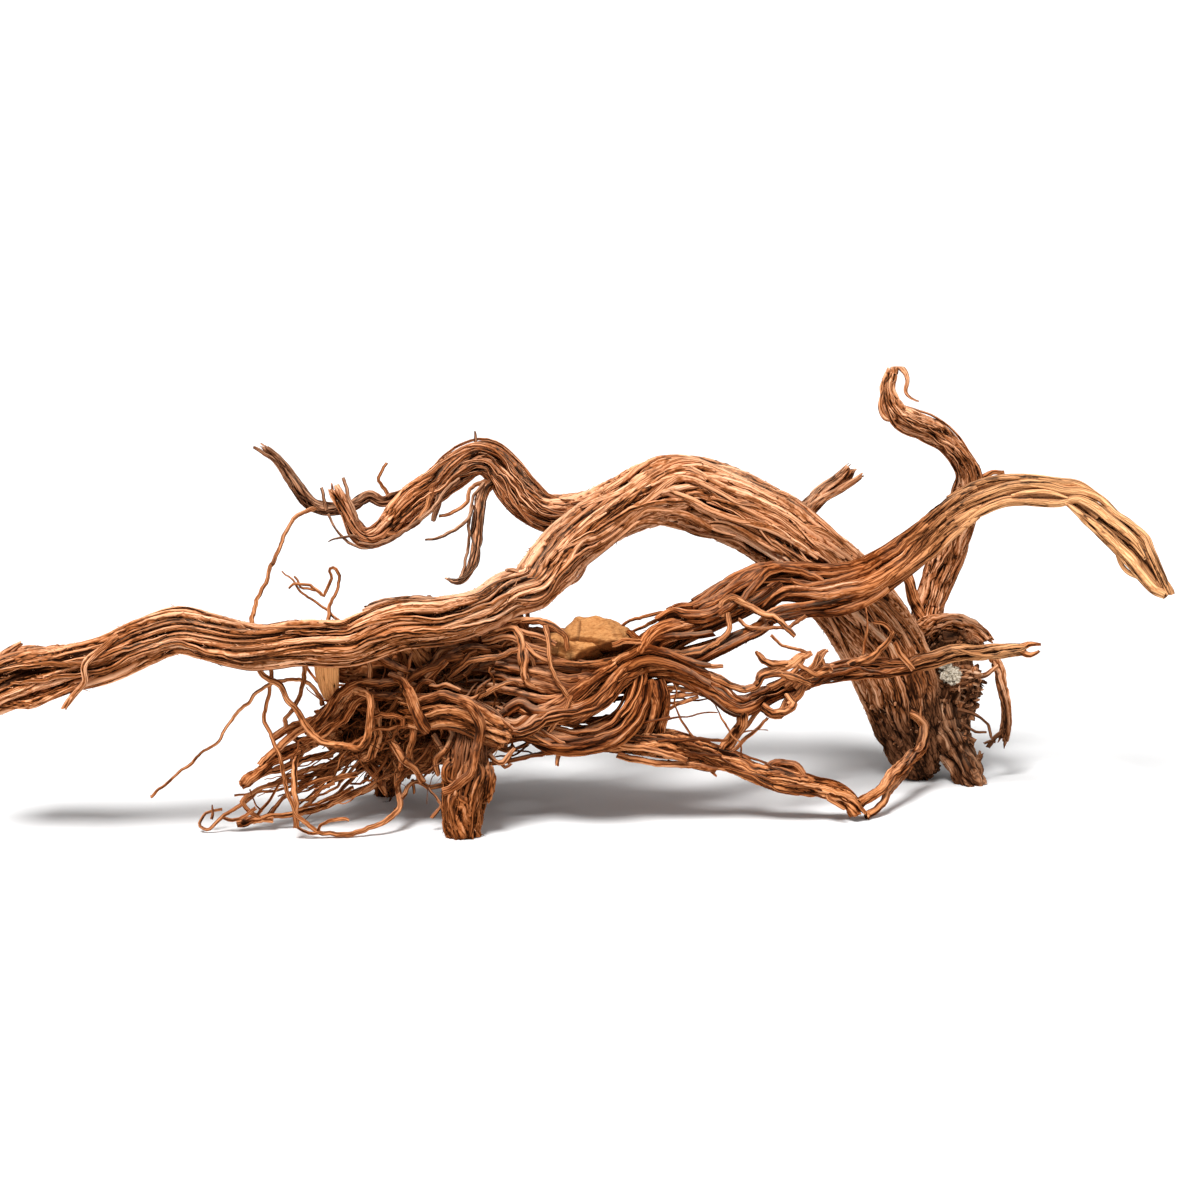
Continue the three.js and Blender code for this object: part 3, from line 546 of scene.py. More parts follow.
def scattered(graph, given, density):
    """Random points on the faces of the bearer, and which way the faces look there."""
    sockets = {"Mesh": given["Geometry"], "Density": density, "Seed": given["Seed"]}
    spread = graph.node("GeometryNodeDistributePointsOnFaces", sockets, distribute_method="RANDOM").outputs
    return Value(graph, spread["Points"]), Value(graph, spread["Normal"])


def facing(graph, way):
    return graph.get("FunctionNodeAlignRotationToVector", {"Vector": way}, axis="Z")


def planted(graph, points, thing, rotation, scale, **values):
    """A copy of the thing on each point, made real, with values of its own for each copy."""
    sockets = {"Points": points, "Instance": thing, "Rotation": rotation, "Scale": scale}
    placed = graph.get("GeometryNodeInstanceOnPoints", sockets)
    placed = graph.store(placed, domain="INSTANCE", **values)
    return graph.get("GeometryNodeRealizeInstances", {"Geometry": placed})


# Splinters grow from a finished limb's faces: a thin cone on each random point, leaning along the grain.
splinters, given = geometry_tree(
    "Splinters", {"Density": 30000.0, "Thickness": 0.0003, "Length": 0.004, "Lean": 0.5, "Seed": 1}
)
seed = given["Seed"]
points, normal = scattered(splinters, given, given["Density"])
way = splinters.named("along", "FLOAT_VECTOR") * splinters.math("SIGN", splinters.draw(-1.0, 1.0, seed, 1))
way = way + normal * (given["Lean"] * splinters.draw(0.3, 1.6, seed, 2))
way = way + splinters.draw((-0.3, -0.3, -0.3), (0.3, 0.3, 0.3), seed, 3)
sockets = {"Vertices": 3, "Radius Top": 0.02, "Radius Bottom": 1.0, "Depth": 1.0}
spike = splinters.get("GeometryNodeMeshCone", sockets, "Mesh", fill_type="NGON")
size = splinters.draw(0.0, 1.0, seed, 4) ** 2.2
slim = given["Thickness"] * size.range(0.0, 1.0, 0.7, 1.3)
tall = given["Length"] * size.range(0.0, 1.0, 0.3, 1.5)
placed = planted(
    splinters, points, spike, facing(splinters, way), splinters.combine(slim, slim, tall),
    crest=splinters.draw(0.4, 0.95, seed, 5), strand=splinters.draw(0.0, 1.0, seed, 6),
)
splinters.finish(splinters.store(placed, grain=splinters.position()), given, smooth=False)


def on_faces(limb, graph, what, material, **values):
    """What a tree grows on the faces of a finished limb, as a piece of its own."""
    name = f"{limb.name}_{what}"
    return grown(name, linked(name + " bearer", limb.data.copy()), graph, material, **values)


loose_strands(
    "trunk_strands", [TRUNK], trunk_wood, Count=36, Thickness=0.0012, Length=0.17, Lift=0.0018,
    Turns_per_metre=0.6, Wander=0.55, Seed=5.0,
)


def laid_on(core, routes, proud):
    """Routes of [across, up, radius] points laid on the front of a core route, and let in by "proud"."""
    laid = []
    for route in routes:
        points = []
        for across, up, radius in route:
            beside = []
            for (left, low, back, girth), (right, high, further, slimness) in zip(core, core[1:]):
                run = Vector((right - left, high - low))
                share = min(max(Vector((across - left, up - low)).dot(run) / run.length_squared, 0.0), 1.0)
                off = math.hypot(across - left - share * run.x, up - low - share * run.y)
                beside.append((off, back + share * (further - back), girth + share * (slimness - girth)))
            off, back, girth = min(beside)
            front = back - math.sqrt(max(girth ** 2 - off ** 2, 0.0))
            points.append([across, up, front + radius - proud, radius])
        laid.append(points)
    return laid


# broad smooth strands over the trunk limb's bend and down its right slope
TRUNK_BANDS = [
    [[-32, 164, 3.2], [-20, 175, 5], [-8, 185, 6.4], [4, 194, 6.6], [16, 202, 5.6], [28, 210, 4.6],
     [38, 216.5, 4.2], [47, 220, 4.2], [56, 219.5, 3.2], [66, 214, 2]],
    [[-14, 197, 2.2], [0, 202.5, 2.2], [12, 207, 2.4], [24, 214, 2.6], [34, 220, 2.8], [44, 225, 2.8],
     [54, 226.5, 2.6], [66, 223.5, 2.4], [78, 218, 2.2], [92, 211, 2.2], [106, 205, 2.2], [118, 202, 1.6]],
    [[0, 205.5, 2], [13, 213, 2.8], [22, 220, 3.2], [30, 225, 3], [40, 227.5, 2.8], [50, 228, 2.8],
     [62, 224.5, 2.6], [76, 219.5, 2.4], [90, 213.5, 2]],
    [[-28, 170, 2.2], [-16, 176.5, 2.4], [-2, 181, 2.6], [10, 189, 2.6], [22, 198.5, 2.6], [33, 207, 2.6],
     [40, 213, 2.6], [47, 216.5, 2.6], [58, 214.5, 2.4], [70, 208.5, 2.4], [82, 202, 2.6], [94, 199, 2.4],
     [106, 192, 2.2], [118, 184, 1.6]],
    [[-24, 162, 3], [-12, 169, 3.2], [0, 177, 3.4], [10, 184, 3.2], [20, 192.5, 2.8], [28, 197.5, 2.6],
     [38, 197.5, 2.6], [48, 195.5, 2.8], [60, 190.5, 3], [72, 184, 2.6], [84, 181, 2]],
    [[24, 199.5, 1.4], [32, 204.5, 1.8], [39, 208.5, 2], [46, 206.5, 2], [56, 202, 2.2], [66, 196.5, 2.4],
     [78, 192, 2.6], [90, 189.5, 3], [102, 186, 3.4], [112, 181, 3.4], [122, 174, 3], [132, 166, 2.2]],
    [[-16, 158.5, 1.6], [-6, 167, 1.8], [4, 175.5, 2], [14, 184, 2], [24, 190, 2.2], [36, 190, 2.2],
     [48, 187, 2], [60, 184, 2], [72, 180.5, 2], [82, 178, 2], [92, 170, 1.6]],
    [[52, 222, 2.6], [62, 216.5, 2.6], [74, 210, 2.8], [86, 205.5, 2.8], [98, 200, 2.8], [110, 193.5, 2.8],
     [120, 187.5, 2.8], [132, 183.5, 3], [142, 177, 2.8], [152, 168, 2]],
    [[104, 208, 2.2], [116, 202, 3.2], [126, 194, 3.6], [136, 185, 3.6], [146, 176, 3.2], [156, 167, 2.2]],
    [[64, 204, 2], [78, 200, 3.2], [90, 195, 3.6], [100, 190, 3.6], [110, 185, 3.8], [118, 178.5, 3.8],
     [126, 171, 3.2]],
    [[116, 185, 1.4], [128, 178, 2.4], [138, 172.5, 2.4], [148, 166, 1.8]],
    [[58, 187, 2], [70, 189.5, 2.2], [82, 186, 2.4], [92, 180, 2.6], [102, 174.5, 2.4], [112, 170, 1.8]],
    [[160, 144, 2.4], [168, 138, 3], [176, 129, 3.2], [183, 117, 3], [188, 104, 2.2]],
    [[138, 135, 2], [146, 121, 2.8], [151, 109, 2.6], [157, 96, 2]],
]
limbs(
    "trunk_bands", laid_on(TRUNK, TRUNK_BANDS, 2.4), trunk_wood, Sides=24, Ring_spacing=0.002,
    Fibre_width=0.0052, Fibre_length=0.14, Relief=0.0022, Crack_depth=0.0022, Turns_per_metre=1.2,
    Waviness=0.6, Knobs=0.16, Fray=0.004, Wiggle=0.001, Seed=6.0,
)
on_faces(trunk, splinters, "splinters", trunk_wood, Density=20000.0, Length=0.0042, Thickness=0.00028, Seed=3)

# a stub, strands that hang below the limb, a flake and a split strand at the left end
TRUNK_BITS = [
    [[-58, 160.5, 12, 1], [-53, 161, 14, 1.6], [-47, 158, 20, 2]],
    [[-6, 171, 48, 1.4], [-10, 161, 42, 1.2], [-14, 155, 40, 1.1], [-21, 151.5, 38, 0.8]],
    [[48, 187, 76, 1.4], [58, 182.5, 72, 1.2], [68, 180.5, 74, 1]],
    [[-362, 106, -16, 3], [-354, 113, -20, 2.2], [-346, 118, -20, 1.1]],
    [[-364, 80, -22, 3.4], [-350, 80.5, -26, 3], [-340, 81, -30, 2.8], [-328, 86, -31, 2.8],
     [-312, 93, -28, 3]],
    [[-288, 122, -34, 2.2], [-301, 112, -40, 2.1], [-309, 104, -40, 2], [-309, 94, -36, 1.9],
     [-316, 86, -32, 2], [-322, 77, -31, 1.6]],
]
limbs(
    "trunk_bits", TRUNK_BITS, trunk_wood, Sides=18, Ring_spacing=0.0014, Fibre_width=0.0016,
    Fibre_length=0.03, Relief=0.001, Crack_depth=0.0006, Turns_per_metre=4.0, Waviness=0.8, Knobs=0.5,
    Fray=0.002, Seed=7.0,
)

# Stump
# The broken, half-rotten end that the trunk limb stands on: a second dark lobe, a ridge root that bends down
# beside it, and crumbling ledges.
LICHEN = {"Lichen_place": place(210, 99, 114), "Lichen_reach": 0.0085}
stump_wood = wood_material(
    "Stump wood", (0.34, 0.15, 0.07), (0.13, 0.046, 0.018), Groove_colour=(0.02, 0.007, 0.003, 1), Bleach=0.3,
    Dirt=0.7, **LICHEN,
)
STUMP = [
    [196, 120, 140, 12], [205, 110, 142, 17], [208, 93, 140, 18], [207, 76, 136, 15.5], [210, 61, 131, 12.5],
    [216, 49, 127, 11], [221, 38, 123, 9.5], [225, 30, 122, 6.5],
]
STUMP_LEDGES = [
    [[198, 119, 138, 10], [212, 121, 136, 8.5], [224, 117, 134, 6.5], [232, 111, 132, 4]],
    [[200, 98, 126, 8], [213, 97, 121, 7.4], [224, 96, 121, 6], [232, 93, 124, 4]],
    [[214, 92, 130, 8], [222, 90, 128, 6.4], [231, 90.5, 128, 4.4], [235, 88, 128, 3]],
    [[212, 84, 133, 8], [221, 81, 130, 5.6], [228, 84, 128, 4], [234, 84, 128, 3]],
    [[210, 74, 132, 8], [219, 73, 130, 5.6], [226, 72, 128, 3.4], [230, 70, 128, 2]],
    [[208, 64, 130, 8], [216, 61, 128, 6], [223, 59, 126, 3.4], [227, 57, 126, 1.4]],
    [[198, 113, 136, 9], [207, 111, 134, 8], [217, 109, 134, 6], [226, 104, 132, 4]],
    [[222, 42, 122, 2], [226, 46, 121, 1.6], [230, 54, 121, 0.9]],
    [[176, 88, 112, 5], [175, 76, 114, 5], [178, 62, 118, 5], [184, 52, 122, 5], [192, 46, 126, 6]],
]
STUMP_RIDGE = [
    [192, 122, 138, 8], [203, 128, 134, 6.4], [214, 128.5, 132, 6], [226, 123, 130, 5.4], [235, 115, 130, 4],
]
STUMP_DROP = [
    [232, 112, 130, 2.4], [238, 104, 130, 3], [242, 90, 130, 3], [243.5, 76, 130, 2.8], [242.5, 64, 130, 3],
    [241, 54, 130, 2],
]
STUMP_TWIGS = [
    [[243, 66, 130, 1.6], [237, 60, 129, 1.6], [232, 54, 128, 1.4]],
    [[238, 58, 129, 1.2], [234, 58, 128, 1], [230, 56.5, 127, 0.8]],
    [[214, 78, 120, 1.2], [226, 74, 116, 1.2], [233, 68, 116, 0.8], [235, 60, 117, 0.6]],
    [[216, 70, 120, 1], [226, 64, 117, 1], [232, 64, 118, 0.5]],
    [[222, 96, 122, 2], [231, 98, 122, 1.8], [239, 104, 123, 1.2]],
]
stump = limbs(
    "stump", [STUMP], stump_wood, Sides=110, Ring_spacing=0.0014, Fibre_width=0.0065, Fibre_length=0.05,
    Relief=0.0042, Crack_depth=0.004, Turns_per_metre=1.5, Waviness=1.6, Knobs=0.55, Fray=0.003, Wiggle=0.004,
    Seed=11.0,
)
ledges = limbs(
    "stump_ledges", STUMP_LEDGES, stump_wood, Sides=54, Ring_spacing=0.0014, Fibre_width=0.0035,
    Fibre_length=0.025, Relief=0.004, Crack_depth=0.005, Turns_per_metre=1.5, Waviness=1.6, Knobs=0.8,
    Fray=0.012, Wiggle=0.004, Seed=14.0,
)
limbs(
    "stump_ridge", [STUMP_RIDGE, STUMP_DROP], trunk_wood, roundness=0.7, Sides=48, Ring_spacing=0.0015,
    Fibre_width=0.003, Fibre_length=0.05, Relief=0.0028, Crack_depth=0.003, Turns_per_metre=3.0, Waviness=0.8,
    Knobs=0.7, Fray=0.008, Wiggle=0.005, Seed=12.0,
)
limbs(
    "stump_twigs", STUMP_TWIGS, trunk_wood, roundness=0.6, Sides=12, Ring_spacing=0.0014, Fibre_width=0.002,
    Fibre_length=0.05, Relief=0.0006, Crack_depth=0.0003, Turns_per_metre=5.0, Waviness=0.6, Knobs=0.8,
    Fray=0.001, Wiggle=0.004, Seed=13.0,
)

# The rotten wood breaks up into angular crumbs: a rough chip on each random point of the stump's faces.
crumbs, given = geometry_tree(
    "Crumbs", {"Density": 20000.0, "Size": 0.003, "Seed": 1, "Centre": (0, 0, 0), "Reach": 0.05}
)
seed = given["Seed"]
here = crumbs.position()
near = crumbs.vector("DISTANCE", here, given["Centre"]).range(given["Reach"] * 0.7, given["Reach"], 1.0, 0.0)
patchy = crumbs.noise(here, 60.0).range(0.42, 0.6) * near
points, normal = scattered(crumbs, given, given["Density"] * patchy)
chip = crumbs.get("GeometryNodeMeshIcoSphere", {"Radius": 0.5, "Subdivisions": 1}, "Mesh")
turned = crumbs.draw((0, 0, 0), (6.28, 6.28, 6.28), seed, 2)
size = given["Size"] * (crumbs.draw(0.0, 1.0, seed, 1) ** 3.0).range(0.0, 1.0, 0.3, 1.6)
placed = planted(
    crumbs, points, chip, crumbs.get("FunctionNodeEulerToRotation", {0: turned}),
    crumbs.draw((0.7, 0.45, 0.2), (1.5, 0.9, 0.5), seed, 3) * size,
    crest=crumbs.draw(0.2, 0.95, seed, 4), strand=crumbs.draw(0.0, 1.0, seed, 5),
)
placed = crumbs.move(placed, Offset=crumbs.drift(crumbs.position(), 900.0, 1.0) * 0.0018)
crumbs.finish(crumbs.store(placed, grain=crumbs.position()), given, smooth=False)

crumb_wood = wood_material(
    "Crumb wood", (0.50, 0.20, 0.085), (0.22, 0.075, 0.027), Groove_colour=(0.03, 0.010, 0.004, 1),
    Bleach=0.3, Dirt=0.5, **LICHEN,
)
on_faces(
    stump, crumbs, "crumbs", crumb_wood, Density=60000.0, Size=0.0036, Seed=4, Centre=place(212, 88, 126),
    Reach=0.04,
)
on_faces(
    ledges, crumbs, "crumbs", crumb_wood, Density=90000.0, Size=0.0046, Seed=5, Centre=place(218, 90, 126),
    Reach=0.06,
)
on_faces(
    trunk, crumbs, "crumbs", crumb_wood, Density=50000.0, Size=0.0032, Seed=9, Centre=place(176, 66, 116),
    Reach=0.03,
)

# Right arm
# The arm that crosses in front of the trunk limb and droops at the right: a few stout smooth strands that
# part and join again, with a loose bundle along its underside.
arm_wood = wood_material(
    "Arm wood", (0.56, 0.195, 0.066), (0.175, 0.039, 0.0072), Bleach=0.35, Dirt=0.25, Tan=1.0,
)
# the arm's slim core and underside, painted dark as the shade in the gaps between its strands and below them
gap_shade_wood = wood_material(
    "Gap shade wood", (0.25, 0.072, 0.02), (0.08, 0.018, 0.004), Bleach=0.0, Dirt=0.5, Tan=0.35,
)
RIGHT_ARM = [
    [24, 106, 26, 9], [38, 120, 30, 11], [52, 129, 34, 11.5], [66, 136, 38, 12], [80, 143, 42, 12.5],
    [95, 150, 47, 12.5], [110, 153, 52, 12.5], [127, 152, 57, 13.5], [144, 150, 62, 15], [158, 154, 66, 14.5],
    [172, 162, 69, 13], [186, 172, 72, 12], [200, 184, 74, 11], [214, 195, 76, 10], [228, 203, 77, 9.5],
    [243, 208, 77, 9.2], [260, 208.5, 76, 8.8], [276, 208, 74, 8.8], [289, 203, 72, 9], [301, 192, 70, 9.2],
    [313, 181, 67, 9], [325, 169, 64, 8.4], [334, 156, 62, 7], [342, 144, 60, 4],
]
RIGHT_ARM_UNDERSIDE = [
    [150, 144, 58, 7], [135, 139, 52, 5.5], [120, 136.5, 47, 4.8], [106, 132, 42, 5.6], [93, 126, 37, 6.2],
    [78, 119, 32, 6.4], [62, 113.5, 28, 6], [46, 110, 24, 6], [30, 106, 22, 6],
]
# broad smooth strands that part from the arm's core and join it again; the core's dark colour is painted
# shade in the gaps
RIGHT_ARM_BANDS = [
    [[24, 108, 14, 6], [30, 117, 17, 7], [37, 122.5, 20, 7.4], [45, 125.5, 23, 7], [54, 127.5, 28, 4.8],
     [66, 129, 36, 3.2], [78, 132, 45, 1]],
    [[34, 129, 25, 3.2], [44, 134, 24, 4], [52, 132.5, 24, 4.6], [62, 132.5, 25, 4.6], [69, 134.5, 26, 4.2],
     [76, 139, 28, 4], [84, 144, 33, 3.2]],
    [[84, 136, 32, 3], [90, 140, 32, 3.2], [97, 144.5, 34, 3.4], [104, 149.5, 38, 3.4], [110, 154, 42, 3]],
    [[94, 133, 38, 3], [98, 139, 38, 4.8], [104, 145, 40, 5], [112, 148, 43, 4.8], [122, 147.8, 47, 5],
     [134, 147, 51, 6], [146, 149, 55, 6.6], [158, 151, 58, 6.8], [172, 158, 62, 6], [186, 169, 66, 5.6],
     [200, 181, 69, 5.4], [214, 192, 71, 4.6], [226, 198, 73, 3], [236, 201, 76, 1]],
    [[95, 128, 36, 2], [103, 135, 37, 2.5], [112, 138.2, 40, 2.5], [122, 139.4, 43, 2.4],
     [135, 141, 47, 2.8], [150, 145, 53, 3.4], [166, 151.5, 60, 3.8], [184, 163, 64, 4.2],
     [200, 174, 68, 4.4], [216, 187, 70, 3.4], [228, 194, 73, 1.4]],
    [[98, 127.5, 34, 2.2], [106, 132, 37, 2.8], [118, 134.5, 42, 3], [129, 136, 46, 3.2],
     [138, 136.2, 50, 3.6], [147, 138, 54, 4], [158, 142, 59, 4.2], [172, 151, 64, 4]],
    [[22, 102, 18, 3], [41, 105, 18, 3.4], [58, 106.5, 20, 3.6], [72, 113.5, 24, 3.6], [84, 118.5, 29, 3.4],
     [96, 124.5, 34, 3.2], [103, 131, 38, 2.8]],
    [[34, 107, 32, 0.8], [50, 111, 24, 2.2], [67, 114, 24, 3], [79, 120, 28, 3], [89, 124.5, 33, 3],
     [98, 129, 38, 2.6]],
]
# stout single strands
RIGHT_ARM_STRANDS = [
    [[55, 141, 30, 2], [72, 152, 34, 2.2], [84, 158.6, 36, 2.3], [98, 163.2, 42, 2.4], [118, 163.2, 48, 2.6],
     [144, 162.5, 54, 2.8], [158, 166, 60, 3], [172, 173, 65, 3.2], [186, 182, 68, 3.4], [200, 194, 70, 3.6],
     [214, 204.5, 71, 3], [226, 210.5, 74, 1.4]],
    [[84, 141, 28, 2], [89, 147, 29, 2.3], [95, 154, 32, 2.5], [101, 160, 36, 2.6], [108, 161.5, 40, 2.6],
     [118, 160.5, 44, 2.6], [127, 157.5, 47, 2.6], [136, 152, 49, 2.4], [150, 153, 54, 2.4],
     [166, 160, 60, 2.4]],
    [[39, 136, 28, 1.8], [47, 139.4, 28, 2], [58, 141, 29, 2], [72, 151.5, 33, 1.8], [84, 157, 36, 1.6]],
    [[54, 138.5, 27, 1.8], [65, 142, 28, 2], [76, 149.5, 31, 2], [86, 158, 35, 1.8], [98, 161, 39, 1.8]],
    [[58, 137.7, 27, 2.6], [72, 144.5, 28, 3.2], [82, 150.5, 31, 3.4], [92, 156.5, 34, 3.2],
     [99, 161, 39, 2.6]],
    [[112, 156, 42, 1.8], [124, 152, 44, 1.8], [136, 154, 48, 2], [150, 157, 53, 2.2], [166, 165, 60, 2.4],
     [182, 176, 65, 2.4], [198, 188, 67, 2.2]],
    [[120, 159, 46, 1.6], [136, 158.5, 50, 1.8], [152, 160.5, 56, 2], [170, 168, 62, 2.2],
     [186, 178, 66, 2.2], [204, 194, 69, 2]],
    [[196, 184, 66, 1.8], [210, 196, 68, 2], [226, 204.5, 70, 1.2]],
]
# the arm's far end: smooth pale strands, a gap between them where the core shows dark as painted shade,
# and a thin loop off the lowest
ARM_END_BANDS = [
    [[208, 203, 2.2], [222, 210.5, 2.8], [234, 214.5, 2.8], [246, 216, 2.8], [262, 215.5, 2.8],
     [276, 213.5, 2.8], [287, 212, 2.8], [296, 206.5, 2.4], [305, 199.5, 2.2], [313, 191.5, 1.4]],
    [[206, 193, 2.6], [220, 201.5, 3], [232, 206.5, 3.2], [244, 210.5, 3], [256, 212, 3], [268, 211.5, 3],
     [278, 209, 2.8], [290, 208, 2.8], [300, 203.5, 2.6], [310, 194, 2.6], [320, 186.5, 3], [327, 179.5, 3.4],
     [331, 170, 3.4], [335.5, 160, 3.2], [339, 152, 3], [342.5, 145.5, 2.2]],
    [[204, 180, 2.8], [218, 190.5, 3.4], [230, 197.5, 3.6], [242, 202, 3.4], [254, 202.8, 3.2],
     [266, 202, 3.2], [276, 201.5, 2.8], [286, 203.5, 2.6], [296, 199.5, 3.4], [306, 191, 3.6],
     [315, 183.5, 3.2], [322, 176.5, 2.4], [328, 167.5, 1.4]],
    [[278, 202, 0.6], [284, 198, 1.6], [292, 191.5, 3], [301, 184, 4.2], [310, 175.5, 4.4], [318, 167, 4.6],
     [325, 158.5, 4.4], [332, 150.5, 3.8], [340, 145.5, 2.6]],
    [[246, 205.5, 0.4], [255, 207.5, 1], [266, 208.2, 1.1], [275, 206.5, 0.9], [282, 204, 0.4]],
    [[310, 173, 1], [312.5, 165, 1.2], [317, 159.8, 1.3], [325, 156, 1.2]],
]


def slimmer(route, share):
    """The route with its radii brought down to a share, to leave room for the strands over it."""
    return [[across, up, back, radius * share] for across, up, back, radius in route]


limbs(
    "right_arm",
    [slimmer(RIGHT_ARM, 0.68), slimmer(RIGHT_ARM[14:20], 0.5), slimmer(RIGHT_ARM_UNDERSIDE, 0.6)], gap_shade_wood,
    Sides=60, Ring_spacing=0.0026, Fibre_width=0.0066, Fibre_length=0.14, Relief=0.0052, Crack_depth=0.0055,
    Turns_per_metre=1.4, Waviness=0.6, Knobs=0.14, Fray=0.005, Seed=21.0,
)
right_arm_bands = limbs(
    "right_arm_bands", RIGHT_ARM_BANDS, arm_wood, Sides=42, Ring_spacing=0.002, Fibre_width=0.0075,
    Fibre_length=0.13, Relief=0.0022, Crack_depth=0.0014, Turns_per_metre=1.8, Waviness=0.7, Knobs=0.2,
    Fray=0.003, Wiggle=0.002, Seed=26.0,
)
limbs(
    "arm_end_bands", laid_on(RIGHT_ARM, ARM_END_BANDS, 0.0), arm_wood, Sides=30, Ring_spacing=0.0019,
    Fibre_width=0.007, Fibre_length=0.14, Relief=0.0012, Crack_depth=0.0008, Turns_per_metre=1.2,
    Waviness=0.6, Knobs=0.2, Fray=0.002, Wiggle=0.001, Seed=27.0,
)
limbs(
    "right_arm_bundle", RIGHT_ARM_STRANDS, arm_wood, Sides=24, Ring_spacing=0.0018, Fibre_width=0.003,
    Fibre_length=0.08, Relief=0.0012, Crack_depth=0.0008, Turns_per_metre=2.4, Waviness=0.6, Knobs=0.4,
    Fray=0.002, Wiggle=0.004, Seed=22.0,
)
loose_strands(
    "right_arm_cords", [slimmer(RIGHT_ARM[:14], 0.8)], arm_wood, Count=9, Sides=12, Thickness=0.0018,
    Length=0.15, Lift=0.001, Turns_per_metre=1.0, Wander=0.4, Sunk=0.9, Seed=25.0,
)
loose_strands(
    "right_arm_strands", [slimmer(RIGHT_ARM[:15], 0.94)], arm_wood, Count=12, Thickness=0.0008, Length=0.11,
    Lift=0.002, Turns_per_metre=1.0, Wander=0.6, Seed=23.0,
)
on_faces(
    right_arm_bands, splinters, "splinters", arm_wood, Density=14000.0, Length=0.0036, Thickness=0.00024,
    Seed=24,
)

# Left arm
# The arm that leaves the crest to the left, humps, and ends in a stub and a dark fork, with a prong hanging
# from it.
dark_wood = wood_material("Dark wood", (0.56, 0.27, 0.145), (0.21, 0.078, 0.033), Bleach=0.4, Dirt=0.5)
LEFT_ARM = [
    [48, 212, 84, 14], [28, 211, 84, 14], [8, 203, 84, 12], [-16, 196, 84, 10.5], [-32, 196, 84, 11],
    [-46, 204, 84, 11], [-58, 219, 84, 10], [-70, 228, 82, 9.5], [-85, 223, 80, 9.5], [-98, 213, 78, 9.5],
    [-110, 204, 76, 9.5], [-120, 194, 73, 9], [-130, 184, 70, 6.5], [-139, 180, 67, 6], [-146, 183, 64, 5],
    [-151, 192, 62, 4.8], [-156, 203, 60, 4.5], [-161, 213, 58, 3.6],
]
LEFT_FORK = [
    [-108, 208, 78, 5], [-122, 204, 79, 4.2], [-131, 202, 80, 3.2], [-139, 205.5, 79, 3],
    [-148, 200, 76, 3.2], [-158, 197.5, 72, 3.6], [-167, 198, 68, 4], [-175, 202, 66, 4.2],
    [-181, 210, 64, 4], [-187, 219, 62, 3.4], [-193, 227, 60, 2.8], [-200, 234, 58, 1.8], [-206, 238, 57, 1],
]
HANGING_PRONG = [
    [-62, 217, 82, 4], [-69, 209, 80, 3.2], [-72.5, 196, 78, 2.8], [-74, 180, 76, 2.6], [-76.5, 166, 74, 2.8],
    [-81, 156.5, 72, 2.4], [-87, 153.5, 70, 1.8], [-93, 156.5, 69, 1.4],
]
HIGH_FORK = [
    [112, 184, 108, 7], [124, 198, 112, 5], [135, 209, 114, 4.4], [145, 216, 114, 4.2], [152, 224, 114, 3.4],
]
HIGH_FORK_TWIN = [
    [122, 192, 110, 4], [132, 202, 108, 2.6], [143, 208.5, 107, 2.2], [152, 214, 106, 2],
    [160, 219, 106, 1.5],
]
LEFT_ARM_TWIGS = [
    [[-184, 210, 63, 2], [-190, 219, 61, 1.5], [-197, 228, 59, 1.3], [-208, 235.5, 57, 0.9]],
    [[-167, 211, 62, 0.8], [-165.5, 204, 63, 1], [-163.5, 196, 65, 1.2]],
    [[-155, 217, 58, 0.9], [-151.5, 208, 57, 1.2], [-149, 200, 57, 1.3], [-146, 190, 59, 1.4]],
    [[-163, 195, 62, 0.8], [-158, 184, 60, 0.7], [-151, 177.5, 60, 0.7], [-141, 173.5, 61, 0.6],
     [-132, 177, 66, 0.8]],
    [[-164, 177.5, 58, 0.4], [-157, 180, 58, 0.7], [-148, 181.5, 59, 0.8], [-140, 180, 62, 0.9]],
    [[-75, 245, 81, 0.5], [-74.5, 240, 81, 0.9], [-74, 233, 81, 1.2]],
    [[-95, 208, 72, 2.4], [-98, 199, 69, 2.2], [-100, 190.5, 67, 1.4]],
    [[-106, 179, 66, 0.6], [-98, 180, 66, 1], [-91, 183, 66, 1.1], [-84, 186.5, 67, 1], [-79, 192, 70, 1],
     [-76, 200, 75, 1.2]],
    [[-69, 214, 76, 1.2], [-76, 205, 74, 1], [-78.5, 190, 72, 0.9], [-79.5, 170, 71, 0.9],
     [-84, 156, 70, 0.9]],
    [[-84, 216, 70, 1.4], [-92, 208, 66, 1.2], [-101, 197, 62, 1.2], [-112, 188, 58, 1.2],
     [-124, 180, 58, 1.2], [-136, 176, 60, 0.9], [-146, 178, 60, 0.7]],
]
left_wood = wood_material("Left arm wood", (0.98, 0.49, 0.265), (0.40, 0.12, 0.034), Bleach=0.32, Dirt=0.22)
left_arm = limbs(
    "left_arm", [LEFT_ARM], left_wood, Sides=100, Ring_spacing=0.0016, Fibre_width=0.0042, Fibre_length=0.12,
    Relief=0.0042, Crack_depth=0.0068, Turns_per_metre=1.8, Waviness=0.36, Knobs=0.12, Fray=0.006,
    Wiggle=0.0012, Seed=31.0,
)
limbs(
    "left_fork", [LEFT_FORK], dark_wood, Sides=40, Ring_spacing=0.0014, Fibre_width=0.0024, Fibre_length=0.04,
    Relief=0.002, Crack_depth=0.0016, Turns_per_metre=2.5, Waviness=0.9, Knobs=0.3, Fray=0.008, Seed=32.0,
)
